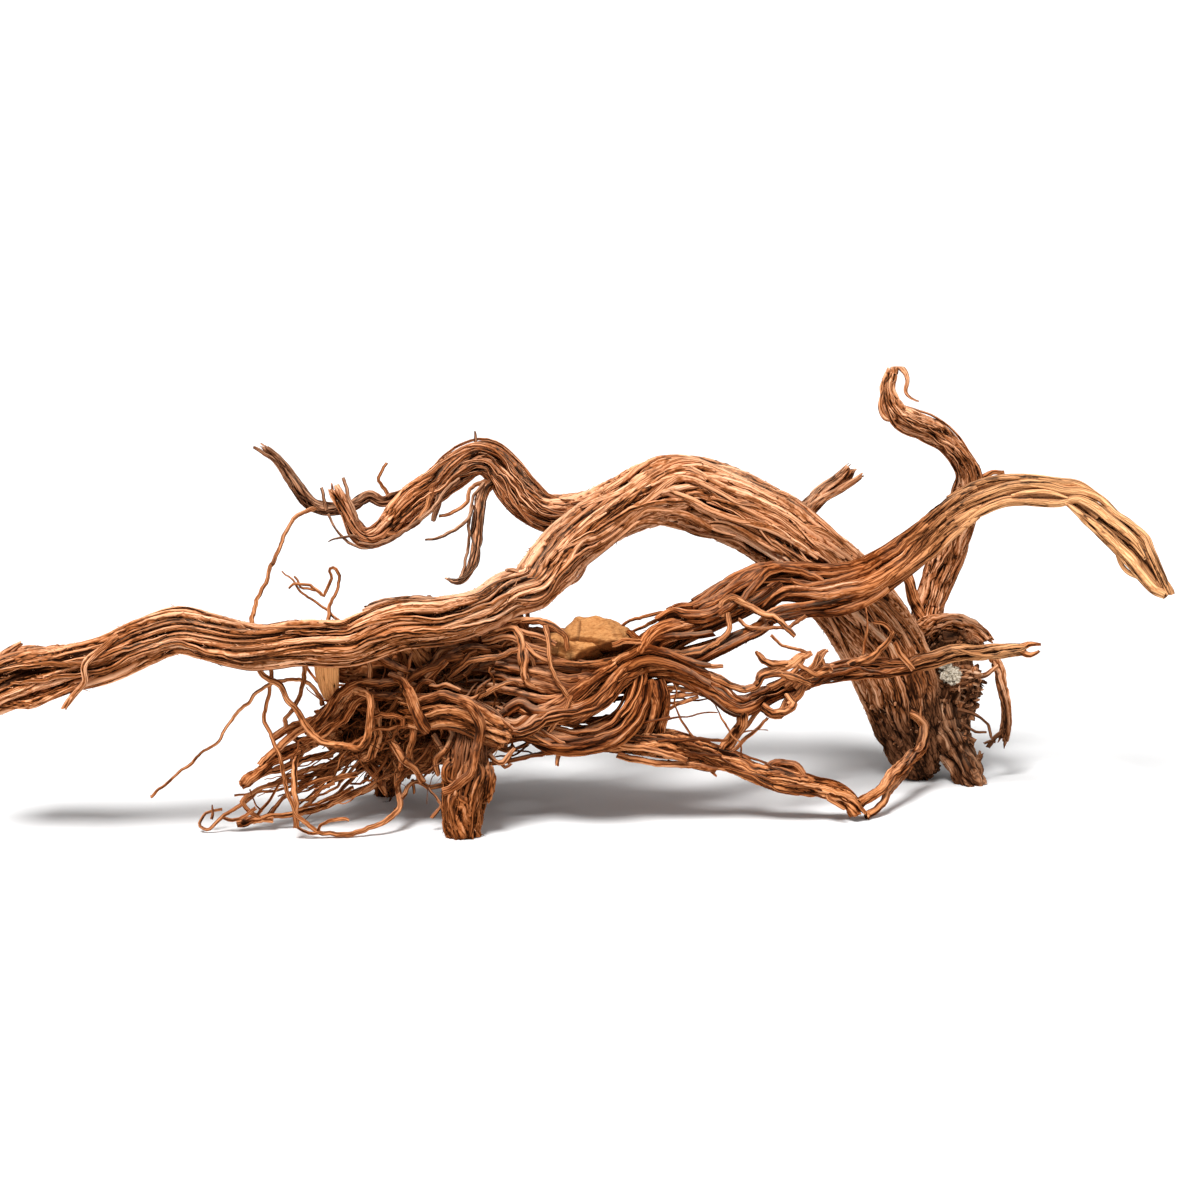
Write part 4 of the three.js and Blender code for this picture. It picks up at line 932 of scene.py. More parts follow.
limbs(
    "prongs", [HANGING_PRONG, HIGH_FORK, HIGH_FORK_TWIN], trunk_wood, Sides=32, Ring_spacing=0.0016,
    Fibre_width=0.0024, Fibre_length=0.05, Relief=0.0016, Crack_depth=0.0014, Turns_per_metre=2.0,
    Waviness=0.8, Knobs=0.3, Fray=0.005, Seed=33.0,
)

limbs(
    "left_arm_twigs", LEFT_ARM_TWIGS, dark_wood, roundness=0.6, Sides=14, Ring_spacing=0.0014,
    Fibre_width=0.0016, Fibre_length=0.03, Relief=0.0006, Crack_depth=0.0003, Turns_per_metre=4.0,
    Waviness=0.6, Knobs=0.7, Fray=0.001, Wiggle=0.004, Seed=34.0,
)
loose_strands(
    "left_arm_strands", [LEFT_ARM], left_wood, Count=34, Thickness=0.001, Length=0.1, Lift=0.0028,
    Turns_per_metre=1.2, Wander=0.7, Seed=35.0,
)
loose_strands(
    "prong_strands", [HANGING_PRONG, HIGH_FORK, LEFT_FORK], dark_wood, Count=7, Thickness=0.0006, Length=0.06,
    Lift=0.0014, Turns_per_metre=2.0, Wander=1.0, Sides=5, Seed=36.0,
)
on_faces(
    left_arm, splinters, "splinters", trunk_wood, Density=34000.0, Length=0.0036, Thickness=0.00022, Seed=37,
)

# Rising branch
# The hooked branch that rises behind the right arm, with a fine, fuzzy skin. It grows out of the stump's far
# side, and its thin tip curls over into a hook.
RISING_BRANCH = [
    [192, 104, 150, 10], [195, 124, 152, 8.5], [199, 142, 152, 8], [204, 158, 149, 8.5], [210, 174, 144, 9],
    [216, 191, 137, 8.6], [220, 207, 129, 7.4], [221, 219, 122, 6.2], [215, 230, 116, 5.8],
    [206, 240, 110, 6.4], [196, 246.5, 105, 7], [186, 250.5, 101, 6.8], [177.5, 256, 98, 5.6],
    [173, 265, 96, 4.6], [173.5, 274, 95, 4], [176, 282.5, 94, 2.8],
]
RISING_HOOK = [
    [[176, 278, 94, 2.6], [178, 283.5, 94, 2.2], [182, 281, 94, 1.8], [184.5, 275, 94, 1.4],
     [183.5, 268, 95, 1], [187, 264, 96, 0.8], [192, 262, 97, 0.5]],
    [[180, 254, 98, 2.4], [172, 252, 96, 2], [168.5, 258, 95, 1.8], [169.5, 266, 94, 1.6],
     [173, 272, 94, 1.8]],
]
limbs(
    "rising_hook", RISING_HOOK, trunk_wood, Sides=16, Ring_spacing=0.0014, Fibre_width=0.0016,
    Fibre_length=0.03, Relief=0.0008, Crack_depth=0.0004, Turns_per_metre=4.0, Waviness=0.6, Knobs=0.5,
    Fray=0.001, Wiggle=0.002, Seed=44.0,
)
rising_branch = limbs(
    "rising_branch", [RISING_BRANCH], trunk_wood, Sides=64, Ring_spacing=0.0016, Fibre_width=0.0026,
    Fibre_length=0.045, Relief=0.0026, Crack_depth=0.003, Turns_per_metre=2.0, Waviness=0.9, Knobs=0.35,
    Fray=0.004, Wiggle=0.003, Seed=41.0,
)

loose_strands(
    "rising_strands", [RISING_BRANCH], trunk_wood, Count=26, Thickness=0.0009, Length=0.08, Lift=0.002,
    Turns_per_metre=1.6, Wander=0.8, Seed=42.0,
)
on_faces(
    rising_branch, splinters, "splinters", trunk_wood, Density=60000.0, Length=0.0034, Thickness=0.0002,
    Seed=43,
)

# Forearm and lower limb
# The thin arm at the front right and the limb below it, which comes down to the ground in an elbow and rises
# again.
FOREARM = [
    [18, 101, 22, 8], [34, 104, 18, 7], [48, 100.5, 15, 6.4], [60, 95, 14, 6.2], [71, 88.5, 15, 6],
    [79, 81.5, 18, 5.8], [87, 80.5, 22, 5.8], [97, 85, 26, 5.4], [109, 89.5, 30, 5], [122, 94, 35, 4.8],
    [136, 98, 42, 4.6], [152, 101, 50, 5], [168, 102, 57, 5.2], [183, 103.5, 63, 5.4], [198, 107, 68, 5.6],
    [212, 111, 72, 5.4], [228, 111.5, 75, 4.8], [244, 112.5, 78, 4.4], [258, 113.5, 80, 4],
]
LOWER_LIMB = [
    [2, 60, 18, 7.5], [22, 59, 22, 9], [42, 56.5, 24, 8.4], [60, 52, 26, 7], [76, 47, 28, 6.2],
    [91, 41, 30, 6], [105, 36, 31, 6.8], [118, 33, 32, 7], [130, 31, 33, 5.2], [141, 28, 34, 5.6],
    [150, 22, 36, 5.2], [156, 12, 37, 5],
]
ELBOW_RISER = [
    [154, 20, 37, 4], [162, 25, 40, 2.8], [170, 31, 50, 3.2], [179, 41, 66, 4], [188, 49, 84, 4],
    [194, 58, 97, 3.4], [195.5, 67, 103, 3], [190, 73.5, 105, 3], [182, 78, 108, 3],
]
ELBOW_STAY = [[158, 12, 38, 3], [166, 17, 44, 2], [173, 27, 54, 2.2], [181, 37, 70, 2.2], [187, 45, 84, 2.4]]
limb_wood = wood_material("Limb wood", (0.70, 0.275, 0.102), (0.26, 0.069, 0.016), Bleach=0.2, Dirt=0.3)
forearm = limbs(
    "forearm", [FOREARM], arm_wood, Sides=64, Ring_spacing=0.0016, Fibre_width=0.0052, Fibre_length=0.1,
    Relief=0.0022, Crack_depth=0.0028, Turns_per_metre=2.4, Waviness=0.7, Knobs=0.4, Fray=0.004, Wiggle=0.003,
    Seed=51.0,
)
lower_limb = limbs(
    "lower_limb", [LOWER_LIMB], limb_wood, Sides=72, Ring_spacing=0.0016, Fibre_width=0.0036,
    Fibre_length=0.08, Relief=0.0028, Crack_depth=0.0026, Turns_per_metre=2.4, Waviness=0.9, Knobs=0.5,
    Fray=0.004, Wiggle=0.005, Seed=52.0,
)
elbow = limbs(
    "elbow", [ELBOW_RISER, ELBOW_STAY], limb_wood, Sides=32, Ring_spacing=0.0016, Fibre_width=0.003,
    Fibre_length=0.05, Relief=0.0014, Crack_depth=0.0012, Turns_per_metre=3.0, Waviness=0.8, Knobs=0.6,
    Fray=0.003, Wiggle=0.004, Seed=53.0,
)

loose_strands(
    "forearm_strands", [FOREARM, LOWER_LIMB], arm_wood, Count=11, Thickness=0.001, Length=0.12, Lift=0.0018,
    Turns_per_metre=1.4, Wander=0.8, Seed=54.0,
)
on_faces(
    lower_limb, splinters, "splinters", limb_wood, Density=30000.0, Length=0.003, Thickness=0.0002, Seed=55,
)

# Collar
# The dark heart of the tangle, where all the roots meet behind and below the trunk limb: thick roots with
# deep cracks, grown into each other and into the limb above.
# dark wood for the heart of the tangle: partly dirt, partly painted shade deep among the roots
collar_wood = wood_material(
    "Collar wood", (0.42, 0.15, 0.05), (0.17, 0.044, 0.011), Groove_colour=(0.018, 0.007, 0.0035, 1),
    Bleach=0.1, Dirt=0.5,
)
COLLAR = [
    [-178, 74, 30, 5], [-150, 67, 42, 16], [-122, 64, 48, 24], [-96, 68, 50, 25], [-70, 77, 46, 19],
    [-44, 86, 40, 13], [-18, 92, 32, 9], [10, 98, 28, 9], [30, 104, 26, 10],
]
BACK_BAND = [
    [-172, 60, 54, 3.6], [-138, 58, 72, 9], [-108, 66, 80, 11], [-78, 76, 80, 11], [-48, 84, 72, 10],
    [-18, 92, 60, 9], [10, 104, 48, 8], [36, 118, 40, 8],
]
UPPER_BAND = [
    [-172, 102, 2, 4], [-146, 102, 22, 10], [-120, 104, 34, 12], [-92, 106, 40, 13], [-64, 110, 40, 13],
    [-36, 116, 38, 11], [-8, 112, 44, 8],
]
LIMB_HANGER = [[-120, 128, 0, 9], [-112, 114, 16, 9], [-102, 98, 34, 10], [-94, 82, 48, 10]]
SHOULDER_HANGER = [[-60, 140, 22, 9], [-52, 128, 28, 8], [-46, 114, 34, 8], [-40, 100, 38, 8]]
STONE_BED = [[-46, 98, 42, 8], [-20, 101, 42, 8.5], [6, 105, 40, 8], [28, 112, 36, 7]]
limbs(
    "root_collar", [COLLAR, BACK_BAND, UPPER_BAND, LIMB_HANGER, SHOULDER_HANGER, STONE_BED], collar_wood,
    Sides=60, Ring_spacing=0.003, Fibre_width=0.0046, Fibre_length=0.07, Relief=0.0055, Crack_depth=0.007,
    Turns_per_metre=2.0, Waviness=1.2, Knobs=0.4, Fray=0.016, Seed=61.0,
)

# Slab and bark flake
# A pale, smooth, flattened root at the left of the tangle, bored by insects, and the dark bark left on top of
# the trunk limb.
# the slab's own pale tan, brightened further to make up for the trunk limb's shadow on it: painted light
slab_wood = wood_material("Slab wood", (0.96, 0.45, 0.17), (0.74, 0.30, 0.10), Bleach=0.0, Dirt=0.2)
SLAB_AT = Vector((-164, 105, -2))
SLAB_HALF = Vector((7.6, 3.2, 25.0))
# across, up, size
SLAB_HOLES = ((2.5, 1.0, 0.6), (-2.4, -9.0, 0.5), (3.6, -13.0, 0.6), (-3.6, 10.0, 0.5))


def rounded_mesh(name, subdivisions, layers, shape):
    """A ball whose points are moved, and given values, by a shape rule; smooth all over."""
    mesh = bpy.data.meshes.new(name)
    builder = bmesh.new()
    bmesh.ops.create_icosphere(builder, subdivisions=subdivisions, radius=1.0)
    kinds = {"grain": builder.verts.layers.float_vector}
    kept = {label: kinds.get(label, builder.verts.layers.float).new(label) for label in layers}
    for vertex in builder.verts:
        vertex.co, values = shape(vertex.co.normalized())
        for label, value in values.items():
            vertex[kept[label]] = value
    builder.to_mesh(mesh)
    builder.free()
    for polygon in mesh.polygons:
        polygon.use_smooth = True
    return linked(name, mesh)


def slab_shape(way):
    """A flat board with round edges, narrower towards its foot, with insect holes in its face."""
    press = sum(abs(way[axis]) ** power for axis, power in ((0, 3.2), (1, 2.6), (2, 4.5)))
    point = way * press ** (-1 / 3.2)
    narrow = 1.0 - 0.42 * max(0.0, -point.z) ** 1.6
    point = Vector((point.x * SLAB_HALF.x * narrow, point.y * SLAB_HALF.y * narrow, point.z * SLAB_HALF.z))
    pit = sum(
        math.exp(-(((point.x - x) / size) ** 2) - ((point.z - z) / (1.5 * size)) ** 2)
        for x, z, size in SLAB_HOLES
    )
    ripples = noise.noise(Vector((point.x * 0.5, point.y * 0.5, point.z * 0.07)))
    lean = 4.0 * max(0.0, -point.z / SLAB_HALF.z) ** 2
    back = SLAB_AT.z - 0.35 * point.z + point.y - 0.9 * pit * way.y + 0.7 * ripples
    # the insect holes and the dips between ripples are painted darker: painted shade
    crest = max(0.05, 0.86 - 0.9 * pit - 0.25 * max(0.0, -ripples))
    values = {"crest": crest, "strand": 0.5, "grain": point * MM}
    return place(SLAB_AT.x + point.x + lean, SLAB_AT.y + point.z, back), values


slab = rounded_mesh("slab", 5, ("crest", "strand", "grain"), slab_shape)
slab.data.materials.append(slab_wood)
part_of_root(slab)
BARK_FLAKE = [[-143, 135, -14, 4], [-128, 139.5, -12, 4.6], [-110, 141, -8, 4.4], [-91, 141, -4, 2.6]]
limbs(
    "bark_flake", [BARK_FLAKE], dark_wood, Sides=40, Ring_spacing=0.0014, Fibre_width=0.003,
    Fibre_length=0.02, Relief=0.0022, Crack_depth=0.002, Turns_per_metre=1.0, Waviness=1.4, Knobs=0.6,
    Fray=0.005, Seed=66.0,
)

# Front roots and feet
# The stout roots in front of the collar: the two that swing down below the stone, the bundle that carries it,
# the broken paddle, and the feet that the root stands on.
SWOOP = [
    [27, 100, 22, 7.5], [23, 84, 16, 8.5], [14, 69, 12, 8.5], [0, 61.5, 10, 7.6], [-16, 57.5, 10, 7],
    [-33, 61, 12, 6.8], [-48, 67, 16, 7], [-62, 76, 26, 8],
]
INNER_SWOOP = [
    [24, 105, 18, 6], [12, 98, 13, 6.4], [3, 88, 9, 6.4], [-8, 79.5, 6, 6.2], [-22, 76, 5, 5.4],
    [-36, 73, 6, 5.4], [-48, 66, 7, 5.6], [-58, 72, 18, 6],
]
STONE_CRADLE = [
    [24, 104, 26, 7], [8, 100, 22, 6], [-8, 98, 19, 6.2], [-24, 98.5, 19, 6.8], [-40, 102, 22, 7.6],
    [-56, 105, 30, 8], [-74, 102, 40, 10],
]
PADDLE = [
    [-122, 78, 12, 8], [-108, 76, 3, 9.4], [-94, 77, -1, 9.6], [-82, 75, -2, 9.4], [-70, 69, 0, 9],
    [-59, 62, 3, 7.6], [-52, 57, 6, 4],
]
FRONT_FOOT = [
    [-86, 76, 40, 12], [-80, 62, 20, 11], [-79.5, 47, 8, 12], [-81, 30, 5, 13.4], [-82.5, 14, 5, 12],
    [-81.5, -3, 6, 9.6],
]
FOOT_FLAPS = [
    [[-70, 20, 2, 2.4], [-67.5, 29, -1, 4], [-66, 36, -2, 4], [-66, 42, -1, 2.6], [-65, 47, 0, 1]],
    [[-88, 46, 0, 3], [-92, 41, -4, 3.4], [-92, 36, -5, 3], [-88, 33, -5, 2.6], [-85, 36, -5, 2]],
    [[-76, 46, -2, 3], [-72, 40, -5, 3.2], [-74, 32, -6, 3], [-77, 22, -5, 2.6], [-78, 12, -4, 2]],
    [[-86, 30, -6, 2.4], [-89, 22, -6, 2.6], [-88, 12, -5, 2.4], [-85, 4, -3, 2]],
]
BACK_FOOT = [[-112, 58, 62, 12], [-122, 44, 80, 8.5], [-128, 32, 94, 6.5], [-129, 20, 100, 6]]
swoop_wood = wood_material("Swoop wood", (0.38, 0.122, 0.035), (0.138, 0.03, 0.006), Bleach=0.25, Dirt=0.3)
foot_wood = wood_material("Foot wood", (0.45, 0.155, 0.05), (0.18, 0.046, 0.01), Bleach=0.15, Dirt=0.35)
BROAD_BANDS = [
    [[-44, 61, 14, 3.4], [-33, 57, 9, 5], [-22, 55.5, 6, 6], [-6, 56.5, 4, 6.4], [8, 61, 6, 6.4],
     [18, 68, 8, 6.2], [25, 80, 11, 6], [28, 96, 16, 5]],
    [[-43, 100, 16, 2.6], [-30, 98.4, 13, 2.9], [-18, 95, 12, 3], [-10, 96.5, 13, 2.8], [0, 101, 16, 2.6],
     [14, 107, 20, 2.6]],
    [[-44, 104.6, 18, 1.6], [-24, 106, 12, 1.5], [-12, 104.2, 11, 1.5], [3, 102.8, 14, 1.5],
     [12, 107.4, 17, 1.5], [26, 115.5, 20, 1.8]],
    [[-43, 96, 14, 2.6], [-30, 94, 11, 2.6], [-19, 90, 10, 2.7], [-10, 92, 11, 2.6], [2, 98, 14, 2.6]],
    [[-58, 74, 8, 4.4], [-48, 80, 5, 4.8], [-40, 76, 4, 4.2], [-30, 75, 3, 3.6], [-18, 82, 4, 3.6],
     [-6, 92, 7, 3.8], [8, 102, 12, 4]],
    [[34, 98, 16, 4], [36, 86, 16, 4.6], [33, 74, 18, 4.6], [26, 64, 20, 4.4], [12, 56, 22, 4]],
    [[-14, 99, 15, 2.4], [2, 102.5, 14, 2.7], [14, 107.5, 14, 2.9], [26, 113, 12, 3], [40, 110.5, 8, 2.9],
     [54, 103.5, 7, 2.7], [68, 97, 9, 2.4]],
    [[2, 95, 14, 3], [14, 101, 13, 3.4], [28, 106, 10, 3.6], [42, 103.5, 8, 3.6], [56, 97, 8, 3.2],
     [68, 90, 10, 3]],
    [[16, 125, 26, 1.8], [22, 120, 18, 2.1], [30, 114.5, 11, 2.2], [44, 110, 7, 2.2], [58, 104.5, 6, 1.9],
     [70, 104, 6, 1.4]],
    [[6, 104, 18, 2.4], [18, 111, 15, 2.6], [30, 118, 14, 2.8], [42, 121, 17, 2.8], [56, 121, 22, 2.6],
     [70, 124, 28, 2.4]],
]
limbs(
    "broad_bands", BROAD_BANDS, swoop_wood, Sides=44, Ring_spacing=0.002, Fibre_width=0.0075,
    Fibre_length=0.12, Relief=0.002, Crack_depth=0.0022, Turns_per_metre=2.0, Waviness=0.7, Knobs=0.24,
    Fray=0.004, Wiggle=0.003, Seed=75.0,
)
limbs(
    "swoops", [SWOOP, INNER_SWOOP, STONE_CRADLE], swoop_wood, Sides=70, Ring_spacing=0.0017,
    Fibre_width=0.008, Fibre_length=0.13, Relief=0.0036, Crack_depth=0.005, Turns_per_metre=2.0, Waviness=0.7,
    Knobs=0.16, Fray=0.006, Wiggle=0.002, Seed=71.0,
)
paddle = limbs(
    "paddle", [PADDLE], limb_wood, Sides=76, Ring_spacing=0.0016, Fibre_width=0.0038, Fibre_length=0.06,
    Relief=0.0032, Crack_depth=0.0034, Turns_per_metre=1.6, Waviness=0.8, Knobs=0.2, Fray=0.008, Seed=72.0,
)
feet = limbs(
    "feet", [FRONT_FOOT, BACK_FOOT], foot_wood, Sides=90, Ring_spacing=0.0015, Fibre_width=0.0026,
    Fibre_length=0.03, Relief=0.0036, Crack_depth=0.0045, Turns_per_metre=1.4, Waviness=1.3, Knobs=0.3,
    Fray=0.0035, Wiggle=0.003, Seed=73.0,
)
limbs(
    "foot_flaps", FOOT_FLAPS, foot_wood, roundness=0.8, Sides=26, Ring_spacing=0.0014, Fibre_width=0.002,
    Fibre_length=0.03, Relief=0.0018, Crack_depth=0.0016, Turns_per_metre=2.0, Waviness=1.0, Knobs=0.7,
    Fray=0.004, Wiggle=0.003, Seed=74.0,
)

# Rootlets
# Every rootlet that can be told apart in front, bent one by one, with a smooth thin bark. Both ends are
# sunk in what they grow from.
rootlet_wood = wood_material("Rootlet wood", (0.72, 0.315, 0.135), (0.36, 0.11, 0.032), Bleach=0.2, Dirt=0.2)
ROOTLETS = [
    # from the left fork, down behind the trunk limb to the ground
    [[-166, 199, 66, 1.6], [-180, 195, 58, 1.3], [-188, 187, 52, 1.3], [-194, 170, 42, 1.3],
     [-200, 156, 32, 1.3], [-207, 138, 18, 1.5], [-209, 126, 4, 1.6], [-202, 112, -14, 1.6],
     [-197, 102, -14, 1.4], [-200, 82, -12, 1.3], [-201, 70, -12, 1.3], [-193, 52, -12, 1.4],
     [-188, 28, -10, 1.4], [-181, 13, -6, 1.4], [-170, 4.5, -2, 1.4], [-158, 2, 0, 1.6], [-145, 4, 2, 1.5],
     [-130, 10, 6, 1.6], [-120, 19, 12, 1.8], [-121, 30, 20, 1.9], [-124, 48, 26, 2], [-128, 60, 34, 2.2]],
    # the looped root in front of the tangle
    [[-206, 112, -24, 1.8], [-204, 99, -20, 1.8], [-193, 92, -18, 2], [-185, 80, -16, 2],
     [-177, 69, -14, 2.2], [-168, 58, -12, 2.2], [-155, 55.5, -12, 2.1], [-145, 54.5, -12, 2.2],
     [-139, 61, -12, 2.3], [-138, 74, -12, 2.3], [-138, 85, -10, 2.4], [-146, 88, -2, 2.8],
     [-153, 81, 4, 3.2], [-164, 71, 12, 3.4], [-176, 64, 22, 3]],
    # the long stray root at the far left
    [[-271, 25, -6, 0.9], [-252, 39, -8, 1], [-240, 50, -10, 1], [-228, 60, -12, 1], [-216, 77, -14, 1.1],
     [-200, 92, -16, 1.2], [-184, 95.5, -12, 1.2], [-171, 91, 0, 1.4], [-166, 80, 14, 1.6]],
    [[-182, 118, -18, 1.6], [-177, 100, -10, 1.5], [-181, 84, -8, 1.5], [-188, 72, -4, 1.5],
     [-186, 62, 10, 1.6], [-172, 58, 26, 2]],
    [[-214, 34, -2, 2.8], [-204, 40, 0, 3], [-190, 52, 6, 3], [-174, 58, 16, 3.2], [-156, 62, 30, 4]],
    [[-211, 35, 2, 1.8], [-196, 40, 8, 2], [-178, 47, 16, 2], [-160, 51, 28, 2.4]],
    [[-226, 18, 14, 0.9], [-237, 15, 12, 1], [-240, 8, 11, 1], [-236, 5.5, 10, 1.1], [-229, 11, 9, 1.2],
     [-216, 20, 10, 1.3], [-202, 31, 14, 1.4], [-186, 38, 20, 1.6], [-164, 44, 30, 2]],
    [[-216, 9, 14, 2], [-206, 12, 14, 1.8], [-194, 14, 16, 1.8], [-178, 15, 20, 1.9], [-160, 21, 28, 2.1],
     [-144, 28, 38, 2.4], [-126, 38, 46, 3]],
    [[-196, 10, 14, 1.4], [-209, 15, 12, 1.5], [-215, 23, 10, 1.5], [-200, 31, 12, 1.5], [-180, 36, 22, 1.7],
     [-158, 42, 34, 2]],
    [[-183, 6, -4, 1.9], [-182, 22, -6, 1.9], [-184, 38, -4, 2], [-180, 50, 10, 2], [-168, 60, 24, 2.4]],
    [[-200, 12, 18, 1.2], [-190, 24, 20, 1.3], [-172, 34, 26, 1.5], [-154, 47, 36, 2]],
    [[-184, 12, 22, 1.3], [-172, 24, 30, 1.4], [-164, 37, 36, 1.7], [-148, 50, 44, 2.4], [-136, 60, 50, 3]],
    [[-170, 21, 30, 1], [-158, 27, 36, 1.2], [-144, 40, 44, 1.8], [-130, 52, 48, 2.6]],
    [[-140, 92, 22, 3], [-135, 82, 12, 2.6], [-133, 62, 8, 2.6], [-137, 50, 10, 2.6], [-142, 50, 26, 3],
     [-136, 58, 44, 3.4]],
    [[-119, 24, 15, 1.5], [-112, 34, 22, 1.4], [-103, 31, 26, 1.4], [-92, 32, 24, 1.8]],
    [[-108, 66, -6, 3], [-113, 84, -8, 3], [-121, 97, 2, 2.6], [-112, 98, 14, 3], [-103, 104, 16, 3.2],
     [-94, 112, 18, 3.2], [-74, 112, 30, 3.4]],
    [[-110, 72, 6, 2.6], [-113, 58, 6, 2.2], [-114, 48, 14, 2.2], [-110, 48, 34, 3]],
    [[-98, 92, 20, 2], [-78, 106, 8, 1.9], [-60, 109, 6, 1.8], [-46, 114, 10, 1.8], [-40, 103, 16, 2]],
    [[-86, 80, 4, 2], [-68, 87.5, -2, 1.6], [-54, 93.5, 2, 1.5], [-44, 92, 14, 1.6]],
    [[-72, 122, 14, 2.4], [-52, 126, 12, 2.4], [-47, 116, 9, 2.6], [-47, 102, 9, 2.6], [-40, 91, 10, 2.4],
     [-24, 88, 14, 2.4]],
    [[-64, 124, 16, 2.2], [-46, 131.5, 14, 1.8], [-30, 128, 11, 1.8], [-22, 122, 7, 1.8],
     [-19, 112, 8, 1.6]],
    [[-32, 128, 10, 1.6], [-31, 112, 4, 1.4], [-26, 94, 2, 1.4], [-12, 78, 0, 1.4]],
    [[-46, 118, 12, 1.6], [-34, 107, 8, 1.6], [-12, 104.5, 10, 1.6], [8, 106, 14, 1.8], [26, 114, 20, 2]],
    [[12, 126, 36, 1], [19, 131.5, 33, 1.1], [37, 135, 30, 1.2], [48, 136, 32, 1.4]],
    # over the right arm
    [[73, 132, 26, 2.2], [74, 142, 26, 2.4], [80, 145, 26, 2.4], [92, 137, 28, 2.3], [106, 131.5, 30, 2.2],
     [118, 120, 30, 1.3]],
    [[76, 136, 26, 1.7], [77, 124, 24, 1.7], [66, 115, 20, 1.7], [50, 110.5, 16, 1.7], [28, 115, 14, 1.8],
     [8, 106, 12, 1.8]],
    [[82, 132, 30, 1.3], [92, 126, 28, 1.2], [112, 126.5, 32, 1.2], [124, 134, 42, 1.6]],
    # above and below the forearm
    [[38, 107, 12, 3], [58, 101, 9, 2.6], [74, 94, 10, 2.6], [84, 90, 14, 2.4], [94, 92, 18, 2.4],
     [97, 98.5, 18, 2.6], [110, 102.5, 20, 2.8], [120, 108, 22, 2.6], [128, 112, 24, 1.5]],
    [[94, 112, 14, 1.4], [101, 105, 15, 1.8], [112, 102.5, 19, 1.8]],
    [[102, 122.5, 20, 1], [109, 115.5, 20, 1], [126, 111, 23, 1.4]],
    [[110, 91, 24, 2.4], [120, 99, 26, 2.6], [133, 103.5, 30, 2.8], [131, 111, 29, 1.3],
     [136, 113.5, 28, 1]],
    [[122, 94, 33, 3], [113, 83, 31, 2.6], [106, 74.5, 29, 2.8], [97, 79, 27, 3], [94, 85, 26, 3]],
    [[54, 101, 12, 2], [64, 104, 8, 1.8], [74.5, 103, 7, 1.3]],
    [[92, 90, 18, 2.2], [98, 97, 17, 2.3], [107, 99, 19, 2.4], [117, 97, 22, 2.2], [126, 92, 30, 2]],
    [[97, 80, 22, 2.2], [103, 76, 21, 2.6], [111, 75, 22, 2.5], [116, 80, 24, 2.3], [112, 87, 26, 2.2]],
    [[124, 95, 32, 2.2], [120, 86, 27, 2.2], [112, 79, 24, 2]],
    [[132, 113, 26, 0.9], [128, 105, 25, 1.5], [122, 98, 27, 1.9], [116, 90, 28, 2]],
    [[114, 108, 21, 1.4], [122, 103, 23, 1.9], [130, 98.5, 27, 2], [138, 101, 32, 1.8]],
    [[104, 103, 18, 1.7], [112, 97, 20, 1.8], [121, 94, 26, 2]],
    [[100, 91, 22, 1.9], [108, 94.5, 21, 2], [118, 101.5, 22, 1.8], [123, 108.5, 23, 1.3]],
    [[93, 113, 14, 1.1], [97, 107.5, 14, 2.1], [104, 104.5, 16, 2.5], [113, 105, 19, 1.8]],
    [[86, 80, 22, 4], [84, 69, 24, 3.4], [78, 60, 26, 3], [70, 50, 28, 3]],
    [[97, 80, 28, 1.4], [88, 67, 28, 1.3], [76, 52, 28, 1.6]],
    [[18, 77, 16, 1.6], [30, 82, 19, 1.2], [42, 88, 18, 1.2], [54, 97, 15, 1.6]],
    # round the left arm
    [[-98, 213, 74, 3], [-103, 203, 66, 1.5], [-110, 189, 62, 1.4], [-124, 183, 64, 1.6],
     [-132, 183, 70, 2.4]],
    [[-133, 201, 80, 1.3], [-127, 206, 80, 1.2], [-133, 215, 78, 1.1], [-127, 226, 76, 1]],
    [[-66, 216, 80, 1.6], [-77, 210, 76, 1.2], [-80, 201, 74, 1.3], [-97, 193, 70, 1.1]],
    # behind the trunk's limb, left
    [[-165, 122, -16, 1.6], [-164, 129, -14, 1.4], [-162, 139.5, -12, 1.2], [-158, 150.5, -10, 1.2],
     [-156.8, 158, -10, 1.1], [-159.5, 162, -10, 1.1], [-162.8, 161.5, -9, 1], [-161.3, 157, -9, 1],
     [-164.5, 148, -8, 1], [-166, 145, -8, 1], [-169.6, 148.2, -8, 1], [-174.6, 151.4, -8, 0.9],
     [-183.4, 152.4, -8, 0.9], [-186.5, 149.4, -8, 0.7]],
    [[-169.6, 148.2, -8, 0.9], [-178.3, 150, -7, 0.8], [-180.8, 154.4, -7, 0.7], [-184, 157, -7, 0.6]],
    [[-147, 124, -14, 1.6], [-157, 131.3, -12, 1.1], [-170.8, 142, -9, 0.9], [-178.3, 147.4, -7, 0.9],
     [-182, 152, -6, 0.8], [-186, 156.4, -5, 0.7], [-192.2, 160.7, -4, 0.5]],
    # over the stump
    [[182, 162, 142, 3.4], [187, 148, 144, 3.4], [194, 128, 146, 4]],
    [[224, 212, 126, 2.6], [234, 218.5, 122, 1.8], [244, 220, 120, 1.2]],
    [[140, 33, 30, 1.8], [137, 24, 29, 1.5], [147, 17.5, 28, 1.1]],
    [[148, 103, 46, 2.6], [160, 108, 48, 2.6], [172, 116, 50, 1.8], [176, 124, 50, 1.2]],
]
limbs(
    "rootlets", ROOTLETS, rootlet_wood, roundness=0.6, Sides=10, Ring_spacing=0.002, Fibre_width=0.0022,
    Fibre_length=0.05, Relief=0.0006, Crack_depth=0.0003, Turns_per_metre=6.0, Waviness=0.6, Knobs=0.7,
    Fray=0.001, Wiggle=0.0055, Seed=81.0,
)

